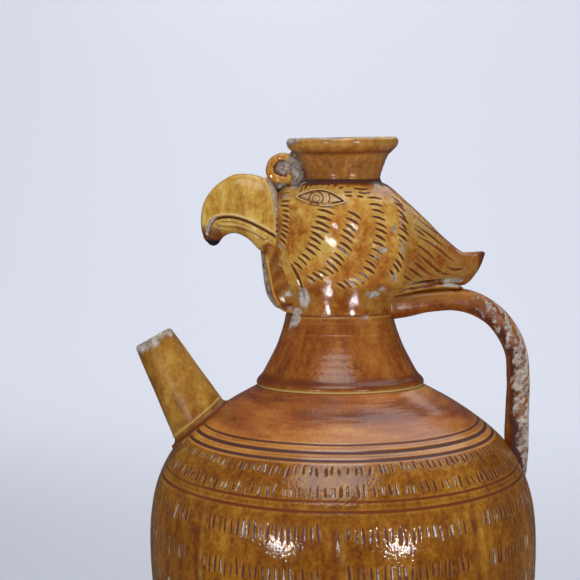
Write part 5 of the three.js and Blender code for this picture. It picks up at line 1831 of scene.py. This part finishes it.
# A strap of squared oval section carried along its line from nape to shoulder, with a shallow groove down its
# outer face. It spreads where it is luted on at both ends. Its outer face and, over most of its length, its
# sides are worn to the clay; the glaze stays near the nape, on the inner face and low on the sides.
def makeHandle():
    v = handleValues
    table = np.array(v["shares"])
    drop = v["rootZ"] - v["footZ"]
    points = np.stack([v["rootX"] + v["reach"] * table[:, 0], v["rootZ"] - drop * table[:, 1]], -1)
    stations = pathShares(points)
    share = np.linspace(0, 1, v["rows"])
    spine = smoothThrough(stations, points, share)
    run = np.gradient(spine, axis=0)
    run /= np.linalg.norm(run, axis=1, keepdims=True)
    thick = smoothThrough(stations, table[:, 2], share)[:, 0]
    turn = fullTurn(v["columns"])
    c, s = np.cos(turn)[None, :], np.sin(turn)[None, :]
    out = bent(c, 2 / v["squareness"])
    side = bent(s, 2 / v["squareness"])
    share2 = share[:, None]
    rootFlare = v["rootFlare"] * np.exp(-np.clip(share2 - 0.03, 0, 1) / 0.05)
    footFlare = v["footFlare"] * ease(0.84, 0.93, share2)
    end = np.sqrt(np.clip((1.002 - share2) / 0.03, 0, 1))
    halfOut = v["halfThickness"] * thick[:, None] * (1 + rootFlare * 0.9) * np.maximum(end, 0.05)
    flare = 1 + rootFlare + footFlare * 0.5
    halfSide = v["halfWidth"] * np.minimum(1, np.sqrt(thick))[:, None] * flare * np.maximum(end, 0.2)
    outward = np.stack([-run[:, 1], run[:, 0]], -1)[:, None, :]
    wobble = 0.12 * unevenWave(share2 * 13 + 0 * c, turn[None, :] * 1.5, 41)
    groove = v["grooveDepth"] * bell(side, 0.5) * (out > 0) * ease(0.3, 0.45, share2)
    reach = halfOut * out - groove + wobble
    x = spine[:, :1] + outward[..., 0] * reach
    z = spine[:, 1:] + outward[..., 1] * reach
    y = halfSide * side + 0.12 * unevenWave(share2 * 11 + 0 * c, turn[None, :], 43) * np.sign(side)
    fields = noFields(x.shape)
    edge = -0.76 + 0.73 * ease(0.74, 0.88, share2) + 0.3 * unevenWave(share2 * 26, turn[None, :], 52)
    face = ease(edge - 0.25, edge + 0.25, out)
    start = ease(0.24, 0.4, share2)
    fields["bare"] = face * start * (0.56 + 0.22 * unevenWave(share2 * 44, turn[None, :] * 2, 53))
    fields["bare"] *= 1 - 0.45 * bell(share2 - 0.4, 0.04) * (out < 0.3)
    fields["bare"] *= 1 - 0.3 * ease(0.85, 0.98, out) * (np.abs(side) > 0.35)
    fields["pooled_and_shade"] = start * (0.3 + 0.6 * bell(out - edge + 0.1, 0.35)) * (out < 0.6) + 0.18 * (1 - start)
    raiseField(fields, "pooled_and_shade", 0.6 * ease(0.80, 0.86, share2) * (out < 0.4))
    fields["pooled_and_shade"] *= 1 - 0.7 * ease(-0.7, -0.95, out)
    fields["thin"] = 0.3 * bell(np.abs(side) - 0.92, 0.1) * (1 - start) * (out > 0)
    grid = np.stack([x, y, z], -1)
    lay("handle_strap", "handle", "deep_amber_glaze", grid, fields, handleGlaze)


# the clay that lutes the handle under the plume, in ridges that fan out from the root
lutingValues = {
    # place behind the axis, height, half height and half width
    "line": [[23.0, 295.4, 7.2, 12.5], [28.0, 296.6, 5.6, 11.6], [35.0, 298.0, 3.6, 10.4],
             [45.0, 298.8, 2.5, 9.2], [55.0, 298.6, 2.0, 8.2], [61.5, 297.6, 1.1, 6.4],
             [63.0, 297.4, 0.3, 4.0]],
    # bare patches: place, height, half sizes, strength
    "patches": [(30.0, 299.6, 3.2, 2.4, 0.75), (57.0, 299.6, 6.0, 1.8, 0.95), (43.0, 300.4, 4.0, 1.2, 0.55)],
    "ridge": 0.42,
    "rows": 220,
    "columns": 160,
}


# A tapering oval carried along the top of the handle, with ridges that slant away from the root.
def makeLuting():
    v = lutingValues
    table = np.array(v["line"])
    share, turn = np.meshgrid(np.linspace(0, 1, v["rows"]), fullTurn(v["columns"]), indexing="ij")
    x, middle, high, wide = np.moveaxis(smoothThrough(pathShares(table), table, share), -1, 0)
    c, s = np.cos(turn), np.sin(turn)
    y = wide * bent(s, 0.8)
    z = middle + high * bent(c, 0.9)
    fan = (z - 292.0) / (5.0 + 0.12 * (x - 22.0)) * 7.5 - (x - 22.0) * 0.05
    ridges = np.cos(fan * 1.7) + 0.4 * unevenWave(x / 3, z / 2, 83)
    y += v["ridge"] * ridges * np.sign(s) * np.minimum(1, high / 2)
    fields = noFields(x.shape)
    fields["thin"] = 0.34 * ease(0.2, 0.9, ridges)
    fields["pooled_and_shade"] = 0.26 + 0.3 * ease(0.1, 0.9, -ridges)
    layPatches(x, z, v["patches"], fields)
    grid = np.stack([x, y, z], -1)
    lay("handle_luting_clay", "handle", "deep_amber_glaze", grid, fields, headGlaze)


makeHandle()
makeLuting()
print("handle made")


# Spout

spoutValues = {
    "tipRadius": 10.4,
    "seatRadius": 16,
    "seatLength": 50.3,
    "boreTip": 6.6,
    "boreSeat": 9.4,
    "fillet": 2.8,
    "lipRadius": 1.1,
    # the search along each line for the body: its ends and how often it is halved
    "searchEnds": (15.0, 90.0),
    "halvings": 40,
    "columns": 260,
    "rows": 170,
}


# A tapered tube on a leaning axis. Each line down its side runs until it meets the body, found by halving,
# and spreads there in a fillet of luting clay.
def makeSpout():
    v = spoutValues
    lean = math.radians(spoutAxis["lean"])
    axis = np.array([math.sin(lean), 0, -math.cos(lean)])
    across = np.array([math.cos(lean), 0, math.sin(lean)])
    tip = np.array([spoutAxis["tipX"], 0, spoutAxis["tipZ"]])
    turn = fullTurn(v["columns"])
    out = across * np.cos(turn)[:, None] + np.array([0, 1, 0]) * np.sin(turn)[:, None]
    growth = (v["seatRadius"] - v["tipRadius"]) / v["seatLength"]
    boreGrowth = (v["boreSeat"] - v["boreTip"]) / v["seatLength"]

    def down(first, grow, extra):
        low, high = (np.full(v["columns"], end) for end in v["searchEnds"])
        for step in range(v["halvings"]):
            middle = (low + high) / 2
            at = tip + axis * middle[:, None] + out * (first + grow * middle)[:, None]
            outside = np.hypot(at[:, 0], at[:, 1]) > bodyRadius(at[:, 2]) - extra
            low, high = np.where(outside, middle, low), np.where(outside, high, middle)
        return low

    meet = down(v["tipRadius"], growth, 0)
    rows = np.linspace(0, 1, v["rows"]) ** 0.85
    length = rows[:, None] * (meet[None, :] + 1.2)
    left = meet[None, :] - length
    radius = v["tipRadius"] + growth * length
    fillet = v["fillet"]
    spread = fillet - np.sqrt(np.clip(fillet**2 - np.clip(fillet - left, 0, fillet) ** 2, 0, None))
    radius = radius + spread + 0.3 * bell(left - fillet - 0.9, 0.7) - 0.25 * bell(left - fillet, 0.5)
    lip = v["lipRadius"]
    radius = radius - lip * (1 - np.sqrt(np.clip(1 - (1 - length / lip) ** 2, 0, 1))) * (length < lip)
    radius = radius + 0.1 * unevenWave(turn[None, :] * 2, length / 22, 61)
    outer = tip + axis * length[..., None] + out[None] * radius[..., None]
    innerLength = np.linspace(1, 0, 12)[:, None] * (down(v["boreTip"], boreGrowth, 0) + 0.8)[None, :]
    boreRadius = v["boreTip"] + boreGrowth * innerLength + 0.9 * (innerLength < 0.5)
    inner = tip + axis * innerLength[..., None] + out[None] * boreRadius[..., None]
    fields = noFields(length.shape)
    ragged = 1.2 * unevenWave(turn[None, :] * 2, length * 0, 67)
    fields["bare"] = 0.9 * (1 - ease(-1.0, 9.5, length + ragged))
    fields["thin"] = 0.75 * bell(left - fillet - 1.0, 0.7)
    fields["pooled_and_shade"] = 0.28 * (1 - ease(fillet * 0.7, fillet * 1.1, left)) + 0.3 * bell(left - 0.4, 0.5)
    innerFields = noFields(innerLength.shape)
    innerFields["pooled_and_shade"] += 0.55
    grid, allFields = np.concatenate([outer, inner]), joinFields([fields, innerFields])
    lay("spout_tube", "spout", "golden_glaze", grid, allFields, spoutGlaze, loopRows=True)


makeSpout()
print("spout made")
